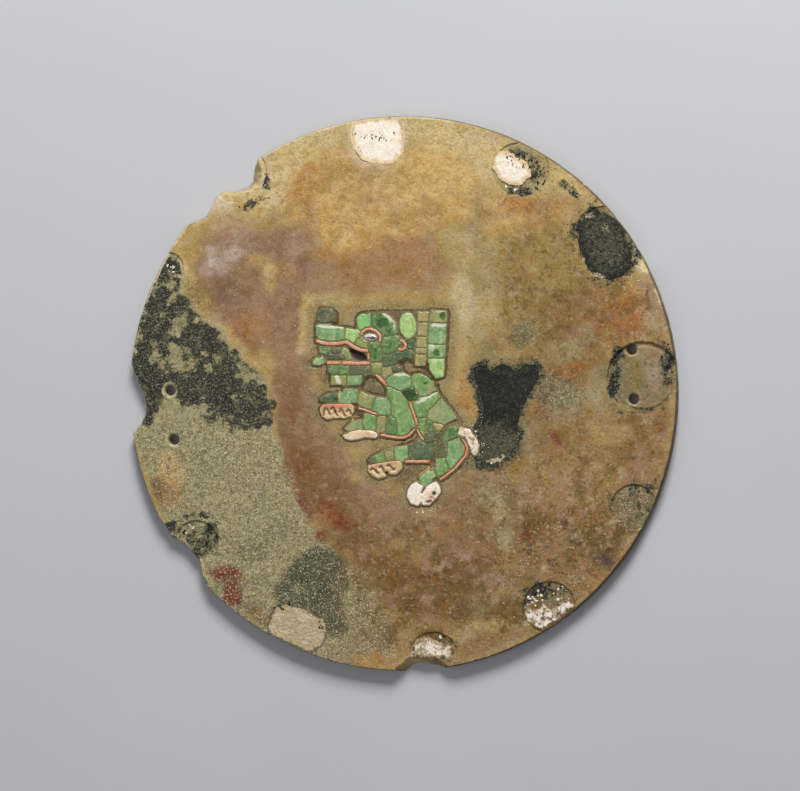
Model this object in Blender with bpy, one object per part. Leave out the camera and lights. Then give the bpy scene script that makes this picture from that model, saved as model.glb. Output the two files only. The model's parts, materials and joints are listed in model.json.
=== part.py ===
"""A round stone mirror with a mosaic animal set into its face, lying on its back.

The disc's back rests on Z = 0 and its face looks up. +Y runs from the animal's feet to its head,
and the animal walks towards -X. Outlines are in millimetres, measured from the disc's centre.
"""

import math

import bmesh
import bpy
import numpy as np
from mathutils.geometry import delaunay_2d_cdt

MM = 0.001
GAP = 0.3  # clearance that neighbouring solids keep

# The disc: half sections of its rim as (radius, height), from the back to the face.
DISC_RADIUS = 135.0
FACE = 7.0
RIM_PROFILE = [
    (DISC_RADIUS - 0.8, 0.0),
    (DISC_RADIUS, 0.8),
    (DISC_RADIUS, FACE - 1.4),
    (DISC_RADIUS - 0.7, FACE),
]
RIM_SIDES = 96

# Suspension holes, drilled through in two pairs and countersunk from both sides.
HOLE_RADIUS = 2.4
COUNTERSINK = 0.9
HOLES = [(-114.8, 1.4), (-112.8, -22.6), (112.7, 21.2), (113.6, -2.8)]

# The sunk field that holds the animal: a bed of mastic, and the inlay on it.
FIELD_DEPTH = 3.0
JOINT = 0.9  # mastic between an inlay and the stone
BED_THICKNESS = 1.3
BED_BASE = FACE - FIELD_DEPTH + GAP
BED_TOP = BED_BASE + BED_THICKNESS
INLAY_BASE = BED_TOP + GAP
TILE_TOP = FACE + 0.8
SHELL_TOP = FACE + 0.7
PAW_TOP = FACE + 0.9
EYE_TOP = FACE + 1.1
TOUCH = 0.42  # how far the feet of joined tiles spread towards each other
FOOT = 0.8  # height of those feet
SLIM_CROWN = 0.8  # a crown under this is a plain bevel

# Twelve shallow seats along the rim: x, y, half width, half height, turn in degrees, squareness.
SEAT_DEPTH = 0.8
SEATS = {
    "01": (-11.5, 123.4, 12.0, 11.2, 4.0, 3.4),
    "02": (58.5, 108.5, 14.0, 13.2, 0.0, 2.0),
    "03": (100.2, 72.4, 13.2, 18.2, 18.0, 2.3),
    "04": (118.5, 7.6, 15.4, 15.4, 0.0, 2.0),
    "05": (113.9, -54.8, 11.2, 11.0, 0.0, 2.0),
    "06": (72.6, -103.6, 12.9, 12.9, 0.0, 2.0),
    "07": (15.8, -126.0, 11.8, 10.4, 0.0, 2.0),
    "08": (-51.4, -114.0, 14.6, 9.8, -22.0, 3.0),
    "09": (-101.5, -71.6, 10.6, 9.8, 0.0, 2.0),
    "10": (-135.0, -5.0, 13.0, 13.5, 0.0, 2.0),
    "11": (-115.6, 59.5, 7.5, 9.5, -20.0, 2.0),
    "12": (-81.5, 107.5, 15.0, 15.0, 0.0, 2.0),
}
RING_SEAT = "04"
RING_OUTER = 17.6
RING_INNER = 15.0
RING_DEPTH = 1.4

# Where the rim is broken: the fracture's line on the face, and its line on the back.
BREAKS = {
    "upper_left": (
        [(-71.5, 118.5), (-69.8, 114.8), (-68.4, 107.7), (-69.2, 101.6), (-73.6, 98.2), (-84.1, 96.2),
         (-88.3, 97.4), (-91.2, 95.8), (-94.6, 89.5), (-96.6, 85.6), (-103.0, 82.6), (-111.0, 80.0)],
        [(-74.0, 118.5), (-72.0, 114.6), (-74.2, 108.2), (-75.4, 103.4), (-77.4, 100.6), (-84.8, 98.4),
         (-89.0, 98.8), (-92.4, 96.6), (-95.6, 90.2), (-97.4, 86.6), (-103.6, 83.6), (-111.6, 80.8)],
    ),
    "left": (
        [(-138.0, 18.5), (-133.2, 13.4), (-129.4, 3.6), (-126.6, -1.6), (-125.4, -6.6), (-127.4, -12.2),
         (-131.4, -18.2), (-138.0, -22.5)],
        [(-138.0, 17.5), (-134.4, 13.0), (-130.2, 4.4), (-128.6, -0.4), (-127.3, -6.8), (-129.2, -13.2),
         (-133.2, -19.4), (-138.0, -22.0)],
    ),
    "lower_left": (
        [(-121.5, -59.0), (-117.6, -63.6), (-114.2, -69.0), (-106.8, -73.2), (-100.0, -80.9),
         (-98.4, -88.1), (-96.0, -94.2), (-97.0, -100.5)],
        [(-122.5, -59.5), (-118.4, -64.2), (-114.8, -70.2), (-107.4, -74.4), (-100.9, -81.6),
         (-99.2, -88.6), (-96.8, -94.8), (-98.0, -101.0)],
    ),
    "bottom": (
        [(-5.5, -138.5), (-2.6, -132.6), (1.2, -130.0), (5.2, -127.4), (12.0, -129.0), (17.4, -128.4),
         (21.4, -130.8), (27.0, -136.0)],
        [(-2.5, -140.0), (0.4, -135.4), (3.6, -133.0), (7.2, -131.1), (12.6, -131.5), (17.2, -131.9),
         (21.0, -133.6), (26.0, -138.0)],
    ),
    "right": (
        [(113.5, 79.5), (110.9, 73.6), (113.2, 67.6), (113.6, 62.2), (117.2, 58.8), (122.4, 58.2),
         (128.5, 55.0)],
        [(119.5, 83.0), (119.6, 75.6), (122.2, 69.2), (124.6, 64.4), (127.0, 61.4), (130.0, 60.6),
         (134.0, 57.5)],
    ),
}
BREAK_REACH = 1.14  # the cutters run out to this many times their end points' radius

# The sunk bed of the lost tail, with the adhesive that is left in it.
TAIL_DEPTH = 0.8
TAIL_ADHESIVE_TOP = FACE - 0.1
TAIL_BED = [
    (37.6, 3.4), (35.6, 9.9), (37.2, 13.0), (41.6, 13.3), (43.8, 10.9), (46.9, 13.0), (50.4, 14.2),
    (53.9, 12.2), (56.5, 10.6), (60.9, 13.3), (65.8, 13.6), (67.7, 9.4), (64.9, 3.4), (61.4, -3.5),
    (57.9, -11.4), (56.5, -19.6), (55.5, -26.0), (50.4, -31.7), (43.8, -34.7), (39.2, -34.4),
    (39.2, -29.0), (39.3, -24.0), (37.8, -18.8), (39.6, -15.0), (40.7, -10.0), (39.8, -3.5),
]

# What is left in the rim seats, set flush with the face.
SEAT_REMAINS = {
    "seat_01_shell": [(-22.6, 123.0), (-22.0, 130.4), (-17.6, 133.0), (-11.0, 133.4), (-3.6, 132.6),
                      (-0.8, 128.6), (-0.8, 119.0), (-4.4, 114.4), (-12.0, 113.4), (-18.8, 115.4)],
    "seat_02_shell": [(45.4, 110.4), (46.6, 115.0), (51.0, 117.6), (56.4, 113.8), (61.6, 110.6),
                      (62.2, 105.4), (58.6, 101.6), (53.4, 101.8), (48.2, 105.2)],
    "seat_06_shell": [(61.0, -103.0), (66.0, -104.6), (70.0, -101.2), (75.2, -103.0), (80.0, -99.6),
                      (84.4, -101.4), (83.0, -105.6), (78.4, -110.2), (71.0, -114.8), (64.6, -112.2),
                      (61.2, -107.6)],
    "seat_07_shell": [(5.6, -124.2), (7.4, -120.8), (11.4, -118.2), (15.2, -120.6), (20.2, -120.6),
                      (24.6, -124.4), (24.8, -128.2), (21.6, -129.0), (17.6, -127.4), (11.6, -128.0),
                      (7.0, -126.2)],
    "seat_03_adhesive": [(87.6, 80.0), (87.4, 71.0), (90.4, 63.0), (97.0, 56.4), (105.0, 55.8),
                         (111.4, 61.0), (112.0, 66.4), (109.6, 74.0), (106.4, 81.0), (100.0, 86.6),
                         (92.0, 87.2)],
}
FILLED_SEAT = "08"

# Single greenstone tiles, each by its corners.
TILES = {
    "horn_tile": [(-41.5, 34.9), (-32.2, 34.7), (-32.3, 38.6), (-34.2, 41.0), (-39.8, 41.2), (-41.4, 39.0)],
    "snout_tile": [(-42.3, 33.2), (-42.3, 27.6), (-36.0, 26.2), (-31.4, 26.0), (-28.1, 26.8), (-28.1, 32.1),
                   (-35.0, 33.1)],
    "nose_bridge_tile": [(-27.4, 31.9), (-27.4, 26.9), (-23.0, 25.1), (-21.2, 27.6), (-22.6, 31.0)],
    "under_eye_tile": [(-22.6, 24.6), (-19.4, 22.8), (-17.1, 22.3), (-17.3, 24.6), (-21.0, 26.6)],
    "crown_tile": [(-14.8, 33.4), (-12.6, 32.2), (-10.0, 30.0), (-8.2, 28.2), (-4.4, 28.5), (-2.4, 29.4),
                   (-2.3, 32.4), (-4.4, 36.2), (-8.0, 38.4), (-12.6, 39.2), (-14.3, 37.4)],
    "cheek_tile": [(-8.6, 27.2), (-8.9, 23.5), (-7.8, 20.6), (-5.2, 20.2), (-3.2, 22.2), (-2.5, 26.0),
                   (-3.4, 27.8)],
    "lip_tile": [(-43.9, 15.8), (-43.6, 13.9), (-40.5, 13.3), (-38.2, 14.3), (-38.2, 16.6), (-39.2, 17.7),
                 (-42.4, 17.3)],
    "ear_back_tile": [(3.6, 25.3), (3.6, 22.3), (5.4, 21.2), (6.8, 24.5), (6.8, 27.2)],
    "back_tile": [(5.9, 9.3), (6.3, 4.3), (8.5, 2.1), (10.6, 0.3), (13.2, 0.3), (16.8, 3.2), (15.4, 5.6),
                  (12.4, 8.4), (9.0, 9.7)],
    "armpit_tile": [(1.3, 0.2), (2.5, -1.9), (4.6, -2.8), (6.9, -2.3), (7.1, -0.6), (5.4, 1.3), (3.0, 1.4)],
    "flank_tile": [(6.2, -5.0), (7.4, -8.4), (8.8, -11.6), (11.8, -11.3), (12.4, -8.2), (15.4, -5.7),
                   (17.1, -2.4), (16.6, -1.0), (12.8, -3.0), (9.0, -3.8)],
    "rump_tile": [(13.4, -9.0), (13.9, -11.4), (15.8, -13.6), (21.0, -14.2), (24.2, -12.2), (25.3, -10.2),
                  (21.3, -6.7), (19.0, -4.8), (16.3, -6.7)],
    "ankle_tile": [(16.8, -35.0), (18.0, -38.0), (20.0, -36.8), (21.2, -34.2), (20.8, -32.0), (19.0, -31.8),
                   (17.2, -33.0)],
    "foot_tile": [(8.6, -41.2), (9.4, -43.1), (11.6, -43.8), (14.3, -43.1), (15.6, -41.0), (15.4, -38.6),
                  (13.4, -36.4), (10.7, -38.6)],
}

# Round greenstone tiles: x, y, half width, half height, turn in degrees.
ROUND_TILES = {
    "brow_tile": (-18.6, 35.4, 3.6, 3.4, 0.0),
    "ear_tile": (3.3, 32.9, 3.7, 6.1, 6.0),
    "shoulder_tile": (-0.8, 6.1, 4.9, 3.8, 0.0),
}

# Rows of tiles: a centre line as x, y, half width, and the joints as shares of its length.
TILE_ROWS = {
    "headdress_front_tiles": ([(10.7, 39.7, 2.6), (10.7, 34.0, 2.4), (10.3, 28.0, 2.1), (9.9, 22.0, 2.5),
                               (9.3, 13.2, 2.6)], [0.20, 0.45, 0.665, 0.78]),
    "headdress_back_tiles": ([(18.4, 40.3, 3.7), (18.2, 34.0, 3.9), (17.8, 24.0, 4.1), (17.7, 18.0, 3.8),
                              (17.4, 13.0, 4.1), (19.0, 7.4, 2.1)], [0.185, 0.50, 0.70]),
    "jaw_hinge_tiles": ([(-14.0, 24.0, 2.1), (-12.6, 20.4, 2.0), (-12.4, 15.0, 1.7), (-12.6, 10.7, 1.4)],
                        [0.68]),
    "lower_jaw_tiles": ([(-36.2, 11.2, 1.5), (-25.5, 11.0, 1.5), (-15.3, 10.8, 1.2)], [0.51]),
    "chin_tiles": ([(-34.8, 6.1, 2.3), (-27.0, 6.1, 2.1), (-19.8, 6.5, 1.95)], [0.53]),
    "neck_tile": ([(-7.9, 15.6, 1.6), (-4.0, 17.0, 1.9), (0.5, 18.2, 2.1), (5.2, 19.8, 1.1)], []),
    "throat_tiles": ([(-8.1, 9.9, 1.3), (-5.0, 10.8, 1.2), (0.6, 12.1, 0.7)], [0.42]),
    "arm_tiles": ([(-5.6, 1.9, 0.9), (-2.6, -1.0, 2.4), (-0.8, -5.0, 3.6), (0.5, -9.0, 3.5),
                   (1.7, -12.0, 3.2), (1.6, -15.8, 3.0), (1.2, -19.0, 1.4)], [0.62]),
    "foreleg_upper_tiles": ([(-40.3, -3.4, 0.8), (-36.0, -2.2, 2.0), (-31.0, -1.7, 2.1), (-26.0, -1.6, 2.3),
                             (-21.0, -2.8, 2.4), (-16.0, -3.8, 2.6), (-12.0, -5.3, 2.5), (-9.0, -5.9, 3.1),
                             (-6.5, -6.6, 2.4)], [0.27, 0.55, 0.79]),
    "foreleg_lower_tiles": ([(-28.0, -17.7, 0.6), (-25.5, -16.3, 2.0), (-22.0, -15.1, 2.4),
                             (-17.0, -14.8, 2.2), (-12.0, -15.0, 2.3), (-8.0, -15.5, 2.6),
                             (-3.3, -16.3, 2.8)], [0.375, 0.645, 0.83]),
    "hind_leg_front_tiles": ([(-16.2, -33.1, 0.6), (-13.0, -31.5, 1.4), (-8.2, -29.9, 1.7),
                              (-3.5, -28.6, 2.2), (0.0, -28.3, 2.8), (5.0, -28.2, 3.0),
                              (15.4, -28.2, 3.2)], [0.11, 0.264, 0.415, 0.63, 0.70]),
    "thigh_tile": ([(20.3, -22.7, 0.7), (22.4, -20.5, 2.2), (25.3, -18.2, 2.5), (27.6, -16.4, 1.2)], []),
}
ROW_JOINT = 0.45  # mastic between two tiles of a row

# Irregular tiles that touch along a side and are set as one cluster.
TILE_CLUSTERS = {
    "teeth_tiles": [
        [(-40.9, 22.0), (-40.4, 20.0), (-37.5, 19.4), (-35.3, 20.4), (-35.2, 21.5)],
        [(-34.5, 21.4), (-33.6, 19.5), (-30.3, 19.7), (-30.2, 21.5)],
        [(-29.6, 21.0), (-29.4, 19.5), (-26.3, 16.6), (-24.7, 17.0), (-26.2, 20.4), (-28.0, 21.6)],
        [(-36.4, 18.7), (-36.2, 16.7), (-28.0, 16.9), (-30.2, 18.8)],
    ],
    "belly_tiles": [
        [(8.7, -12.4), (9.3, -16.8), (11.0, -19.4), (11.5, -15.0), (11.6, -12.2)],
        [(12.3, -13.9), (12.5, -16.2), (14.2, -18.7), (16.7, -17.8), (14.5, -14.2)],
        [(14.9, -14.7), (17.2, -17.6), (19.6, -15.8), (18.8, -15.2)],
        [(14.0, -19.3), (12.0, -22.8), (14.0, -23.3), (17.3, -19.2)],
    ],
    "shin_tiles": [
        [(22.9, -25.0), (22.8, -31.8), (25.0, -33.7), (27.2, -32.8), (29.6, -29.5), (30.8, -26.6),
         (29.5, -24.3), (27.0, -22.3), (24.2, -23.0)],
        [(19.2, -24.2), (18.4, -30.6), (21.9, -30.4), (22.1, -24.6)],
    ],
}

# Shell strips: a centre line as x, y, half width.
SHELL_STRIPS = {
    "upper_lip_shell": [(-41.8, 25.7, 0.9), (-39.5, 24.7, 0.9), (-36.0, 24.2, 0.9), (-31.0, 24.2, 0.9),
                        (-27.0, 25.0, 0.9), (-23.6, 22.6, 0.9), (-20.0, 21.0, 0.8), (-16.3, 20.7, 0.7)],
    "mouth_corner_shell": [(-16.1, 19.6, 0.6), (-16.1, 16.2, 0.6)],
    "lower_lip_shell_front": [(-36.8, 14.9, 0.8), (-29.8, 14.8, 0.8)],
    "lower_lip_shell_back": [(-29.2, 14.8, 0.9), (-22.5, 14.6, 0.9), (-15.6, 14.7, 0.8)],
    "eye_rim_shell": [(-20.0, 28.1, 0.6), (-19.0, 29.9, 0.7), (-17.2, 31.2, 0.7), (-14.8, 31.3, 0.7),
                      (-12.2, 30.2, 0.7), (-10.4, 28.2, 0.7), (-10.3, 26.2, 0.6), (-10.8, 24.6, 0.5)],
    "ear_shell": [(-0.9, 25.8, 0.6), (1.0, 25.3, 0.7), (2.3, 23.7, 0.7), (1.9, 21.8, 0.7),
                  (0.2, 21.1, 0.7), (-1.8, 21.6, 0.6)],
    "throat_shell": [(-12.9, 9.3, 0.4), (-11.2, 8.0, 0.8), (-9.2, 6.0, 0.9), (-7.2, 3.8, 0.5)],
    "flank_shell": [(4.2, -4.3, 0.6), (5.2, -7.0, 0.6), (6.4, -10.4, 0.6), (7.4, -13.6, 0.6),
                    (7.9, -15.6, 0.6)],
    "groin_shell": [(7.9, -17.2, 0.5), (8.8, -19.6, 0.6), (10.0, -21.6, 0.6), (11.2, -22.7, 0.5)],
    "foreleg_lower_shell": [(-10.4, -20.1, 0.7), (-6.0, -20.9, 0.7), (-2.0, -21.6, 0.7), (1.5, -21.5, 0.7),
                            (4.0, -20.3, 0.7), (5.6, -18.6, 0.6), (6.6, -17.3, 0.5)],
    "foreleg_upper_shell": [(-21.2, -7.2, 0.6), (-18.2, -7.9, 0.5), (-14.8, -9.3, 0.6), (-11.9, -10.1, 0.5)],
    "hind_leg_front_shell": [(1.8, -33.0, 0.8), (8.0, -33.0, 0.8), (14.2, -33.0, 0.8)],
    "hind_leg_back_shell": [(29.6, -21.7, 0.5), (31.5, -23.7, 0.7), (32.6, -26.6, 0.7), (31.6, -30.3, 0.7),
                            (26.4, -36.4, 0.7), (21.2, -40.4, 0.7), (18.9, -41.9, 0.7)],
}

# Shell paws and heel, by their corners, and the hooked cuts between the claws.
PAWS = {
    "foreleg_upper_paw": [(-40.0, -8.3), (-39.0, -6.2), (-36.4, -5.4), (-25.2, -5.5), (-23.6, -6.5),
                          (-23.6, -9.0), (-25.6, -11.2), (-28.2, -11.9), (-31.6, -11.7), (-36.4, -12.6),
                          (-38.8, -11.0)],
    "foreleg_lower_paw": [(-28.6, -20.5), (-26.4, -19.7), (-24.0, -18.6), (-20.0, -18.1), (-14.8, -18.4),
                          (-12.6, -19.2), (-11.8, -20.6), (-12.8, -21.5), (-18.0, -21.2), (-21.0, -22.0),
                          (-24.4, -22.5), (-27.2, -22.0)],
    "hind_leg_front_paw": [(-16.1, -35.2), (-12.0, -34.3), (-5.2, -33.4), (-1.2, -32.9), (0.2, -34.2),
                           (0.0, -36.8), (-2.6, -39.0), (-5.4, -39.1), (-6.6, -38.2), (-8.0, -40.4),
                           (-11.0, -41.2), (-13.8, -40.2), (-16.0, -37.6)],
    "hind_leg_back_paw": [(7.4, -43.2), (9.4, -44.6), (11.9, -46.0), (14.8, -43.9), (17.4, -43.2),
                          (18.9, -45.6), (18.9, -48.2), (16.6, -51.2), (13.8, -54.0), (10.8, -53.8),
                          (9.8, -52.4), (8.0, -54.4), (5.0, -53.4), (3.2, -50.5), (3.4, -47.4),
                          (5.0, -44.8)],
    "heel_shell": [(28.5, -19.8), (29.4, -16.4), (31.4, -17.0), (33.4, -17.8), (34.9, -20.2),
                   (36.9, -22.6), (37.9, -25.2), (37.5, -29.3), (36.0, -30.0), (34.6, -28.2),
                   (34.0, -25.4), (32.3, -22.5), (30.5, -20.9)],
}
CLAW_CUTS = {
    "foreleg_upper_paw": [
        [(-38.5, -10.6), (-38.2, -8.5), (-37.2, -7.4), (-36.1, -8.3), (-35.2, -10.2)],
        [(-34.7, -7.9), (-33.9, -7.0), (-33.1, -7.8), (-32.5, -9.4), (-31.5, -10.8)],
        [(-30.5, -9.2), (-29.7, -7.8), (-28.9, -8.6), (-28.4, -9.8), (-27.7, -11.0)],
        [(-27.0, -9.0), (-26.1, -7.9), (-25.3, -8.7), (-24.9, -10.0)],
    ],
    "hind_leg_front_paw": [
        [(-15.2, -37.4), (-14.2, -36.5), (-13.1, -37.2), (-12.1, -38.4), (-11.3, -38.9)],
        [(-10.8, -36.0), (-9.8, -35.5), (-8.9, -36.8), (-8.4, -38.2), (-7.4, -38.9)],
        [(-6.8, -35.4), (-6.0, -34.8), (-5.0, -35.8), (-4.2, -37.0), (-3.3, -36.9)],
    ],
    "hind_leg_back_paw": [
        [(11.6, -46.0), (10.8, -47.2), (10.0, -48.4)],
        [(16.3, -48.0), (16.7, -48.8)],
    ],
}
CLAW_CUT_HALF_WIDTH = 0.42
CLAW_CUT_DEPTH = 0.8

EYE = (-15.1, 27.3, 3.3, 1.8, -4.0)  # x, y, half width, half height, turn

# Stretches of the sunk field where no inlay is left and the mastic lies bare.
BARE_MASTIC = {
    "brow": [(-23.0, 33.6), (-23.0, 29.6), (-19.0, 26.0), (-12.0, 28.0), (-16.0, 38.0)],
    "headdress": [(-20.0, 36.0), (-20.0, 24.0), (8.0, 14.0), (21.5, 14.0), (22.9, 18.0), (24.0, 38.0),
                  (23.2, 40.8), (-17.0, 40.2)],
    "mouth": [(-41.6, 24.6), (-41.0, 17.0), (-38.0, 14.0), (-14.0, 14.0), (-14.0, 24.0)],
    "neck": [(-11.0, 22.0), (-12.0, 9.0), (-3.0, 9.4), (1.6, 12.4), (-1.0, 14.6), (-5.0, 20.0)],
    "under_jaw": [(-30.0, 10.0), (-30.0, 0.6), (-16.0, -2.0), (-5.0, -3.0), (-4.0, 6.0), (-8.0, 12.0)],
    "chest": [(-7.0, 12.0), (-6.0, -6.0), (4.0, -10.0), (8.0, 3.0), (6.0, 9.0), (2.0, 11.0)],
    "back": [(12.0, 6.0), (18.0, 3.6), (20.3, -0.6), (24.5, -5.6), (28.6, -11.0), (30.6, -14.4),
             (24.0, -15.0), (12.0, -2.0)],
    "between_forelegs": [(-22.0, -6.0), (-22.0, -11.0), (-16.0, -12.6), (4.0, -14.0), (4.0, -8.0)],
    "belly": [(-8.0, -17.0), (-8.0, -20.0), (6.0, -18.0), (16.0, -24.0), (22.0, -30.0), (24.0, -22.0),
              (24.0, -14.0), (8.0, -10.0)],
    "hind_leg_front": [(0.0, -26.0), (8.0, -21.0), (22.0, -22.0), (22.0, -31.0), (16.0, -33.4),
                       (2.0, -33.0)],
    "hind_leg_back": [(22.0, -22.0), (30.0, -20.0), (33.0, -28.0), (22.0, -39.0), (14.0, -44.0),
                      (12.0, -38.0), (20.0, -32.0)],
}

# An island of stone that stands between the animal's chin, chest and foreleg.
ISLAND = [(-18.6, 4.4), (-19.2, 2.4), (-16.6, 0.9), (-12.0, -0.2), (-8.2, -0.9), (-8.1, 1.2), (-9.6, 4.0),
          (-12.2, 6.4), (-15.4, 7.4), (-17.6, 6.4)]

# Finishes: colour, roughness, metallic.
FINISHES = {
    "stone": ((0.43, 0.30, 0.13), 0.55, 0.0),
    "mastic": ((0.10, 0.075, 0.055), 0.80, 0.0),
    "adhesive": ((0.025, 0.026, 0.022), 0.90, 0.0),
    "green_bright": ((0.13, 0.33, 0.13), 0.28, 0.0),
    "green_olive": ((0.24, 0.31, 0.11), 0.32, 0.0),
    "green_dark": ((0.07, 0.15, 0.09), 0.32, 0.0),
    "coral_shell": ((0.72, 0.33, 0.21), 0.35, 0.0),
    "tan_shell": ((0.62, 0.40, 0.20), 0.50, 0.0),
    "white_shell": ((0.80, 0.70, 0.58), 0.60, 0.0),
    "rim_fill": ((0.50, 0.41, 0.24), 0.70, 0.0),
    "eye": ((0.75, 0.73, 0.68), 0.18, 0.0),
}
GREEN_OF = {
    "horn_tile": "green_dark",
    "crown_tile": "green_dark",
    "neck_tile": "green_dark",
    "armpit_tile": "green_dark",
    "teeth_tiles": "green_olive",
    "nose_bridge_tile": "green_olive",
    "headdress_front_tiles": "green_olive",
    "throat_tiles": "green_olive",
    "rump_tile": "green_olive",
    "belly_tiles": "green_olive",
}
TAN_PAWS = ("foreleg_upper_paw", "hind_leg_front_paw")
REMAINS_FINISH = {"seat_03_adhesive": "adhesive", "seat_08_fill": "rim_fill"}


def finish(key):
    """The material of that name, made the first time it is asked for."""
    found = bpy.data.materials.get(key)
    if found:
        return found
    colour, roughness, metallic = FINISHES[key]
    made = bpy.data.materials.new(key)
    made.use_nodes = True
    shader = made.node_tree.nodes["Principled BSDF"]
    shader.inputs["Base Color"].default_value = (*colour, 1.0)
    shader.inputs["Roughness"].default_value = roughness
    shader.inputs["Metallic"].default_value = metallic
    return made


def oval(x, y, half_width, half_height, turn=0.0, squareness=2.0, count=16):
    """A superellipse |u/a|^n + |v/b|^n = 1, turned by `turn` degrees about its centre."""
    angle = np.linspace(0.0, 2.0 * math.pi, count, endpoint=False)
    power = 2.0 / squareness
    u = half_width * np.sign(np.cos(angle)) * np.abs(np.cos(angle)) ** power
    v = half_height * np.sign(np.sin(angle)) * np.abs(np.sin(angle)) ** power
    c, s = math.cos(math.radians(turn)), math.sin(math.radians(turn))
    return np.column_stack((x + u * c - v * s, y + u * s + v * c))


def smooth_line(points, per_span, closed=False):
    """A Catmull-Rom curve through the points, sampled `per_span` times between each two."""
    p = np.array(points, float)
    if closed:
        before, after, following = np.roll(p, 1, 0), np.roll(p, -1, 0), np.roll(p, -2, 0)
        starts = p
    else:
        padded = np.vstack((2.0 * p[0] - p[1], p, 2.0 * p[-1] - p[-2]))
        before, starts, after, following = padded[:-3], padded[1:-2], padded[2:-1], padded[3:]
    t = (np.arange(per_span) / per_span)[None, :, None]
    a, b, c, d = (v[:, None, :] for v in (before, starts, after, following))
    curve = 0.5 * (2 * b + (c - a) * t + (2 * a - 5 * b + 4 * c - d) * t**2 + (3 * b - a - 3 * c + d) * t**3)
    curve = curve.reshape(-1, p.shape[1])
    return curve if closed else np.vstack((curve, p[-1]))


def signed_area(outline):
    """Positive where the outline runs anticlockwise."""
    x, y = np.asarray(outline, float).T
    return 0.5 * float(np.sum(x * np.roll(y, -1) - np.roll(x, -1) * y))


def anticlockwise(outline):
    outline = np.asarray(outline, float)
    return outline if signed_area(outline) > 0 else outline[::-1]


def grow(outline, by):
    """The outline moved outwards by `by` (inwards if negative), mitred at its corners."""
    outline = anticlockwise(outline)
    along = np.roll(outline, -1, 0) - outline
    along /= np.linalg.norm(along, axis=1)[:, None]
    out = np.column_stack((along[:, 1], -along[:, 0]))
    before = np.roll(out, 1, 0)
    mitre = out + before
    mitre /= np.maximum(np.sum(mitre * out, axis=1), 0.7)[:, None]
    return outline + by * mitre


def sides_of(line):
    """Left and right edges of a band whose centre line is x, y, half width."""
    line = np.asarray(line, float)
    along = np.gradient(line[:, :2], axis=0)
    along /= np.linalg.norm(along, axis=1)[:, None]
    across = np.column_stack((-along[:, 1], along[:, 0])) * line[:, 2:3]
    return line[:, :2] + across, line[:, :2] - across


def band(line, per_span=1):
    """The outline of a band along a centre line of x, y, half width."""
    left, right = sides_of(smooth_line(line, per_span))
    return np.vstack((right, left[::-1]))


def row(line, joints, stations=3):
    """The outlines of a band's tiles, cut across at the joints, with mastic between them."""
    dense = smooth_line(line, 12)
    steps = np.linalg.norm(np.diff(dense[:, :2], axis=0), axis=1)
    run = np.concatenate(([0.0], np.cumsum(steps)))
    half_joint = ROW_JOINT / 2.0 / run[-1]
    ends = [-half_joint, *joints, 1.0 + half_joint]
    tiles = []
    for start, stop in zip(ends[:-1], ends[1:]):
        share = np.linspace(start + half_joint, stop - half_joint, stations)
        cut = np.column_stack([np.interp(share * run[-1], run, dense[:, k]) for k in range(3)])
        tiles.append(band(cut))
    return tiles


def united(outlines):
    """The outer edge of everything that the outlines cover together."""
    points, faces = [], []
    for outline in map(anticlockwise, outlines):
        faces.append(list(range(len(points), len(points) + len(outline))))
        points.extend(map(tuple, outline))
    covered = delaunay_2d_cdt(points, [], faces, 1, 1e-5)
    corners, triangles = covered[0], covered[2]
    directed = {(t[k], t[(k + 1) % len(t)]) for t in triangles for k in range(len(t))}
    following = {a: b for a, b in directed if (b, a) not in directed}
    longest = []
    while following:
        start, here = following.popitem()
        loop = [start]
        while here != start:
            loop.append(here)
            here = following.pop(here)
        outline = np.array([corners[k] for k in loop])
        if not len(longest) or signed_area(outline) > signed_area(longest):
            longest = outline
    return longest


def without_specks(outline, shortest=0.3, flattest=0.15):
    """The outline without points that crowd another, or that stray less than `flattest` from a line."""
    spaced = [outline[0]]
    for point in outline[1:]:
        if np.linalg.norm(point - spaced[-1]) >= shortest:
            spaced.append(point)
    kept = spaced[:1]
    for point, after in zip(spaced[1:], [*spaced[2:], spaced[0]]):
        chord = after - kept[-1]
        off = abs(chord[0] * (point - kept[-1])[1] - chord[1] * (point - kept[-1])[0])
        if off > flattest * np.linalg.norm(chord):
            kept.append(point)
    return np.array(kept)


def stack(name, levels, material="stone"):
    """A closed body from outlines of equal length, each at its height, from the lowest up."""
    count = len(levels[0][0])
    body = bmesh.new()
    rings = []
    for outline, height in levels:
        outline = anticlockwise(outline)
        rings.append([body.verts.new((x * MM, y * MM, height * MM)) for x, y in outline])
    body.faces.new(rings[0][::-1])
    body.faces.new(rings[-1])
    for low, high in zip(rings[:-1], rings[1:]):
        for k in range(count):
            after = (k + 1) % count
            body.faces.new((low[k], low[after], high[after], high[k]))
    mesh = bpy.data.meshes.new(name)
    body.to_mesh(mesh)
    body.free()
    mesh.materials.append(finish(material))
    made = bpy.data.objects.new(name, mesh)
    bpy.context.scene.collection.objects.link(made)
    return made


def combine(target, others, operation):
    """Target with the other bodies cut away (DIFFERENCE) or joined on (UNION)."""
    for other in others:
        step = target.modifiers.new(other.name, "BOOLEAN")
        step.operation = operation
        step.solver = "EXACT"
        step.object = other
    bpy.context.view_layer.update()
    result = bpy.data.meshes.new_from_object(target.evaluated_get(bpy.context.evaluated_depsgraph_get()))
    target.modifiers.clear()
    result.name = target.name
    target.data = result
    for other in others:
        bpy.data.objects.remove(other)
    return target


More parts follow.
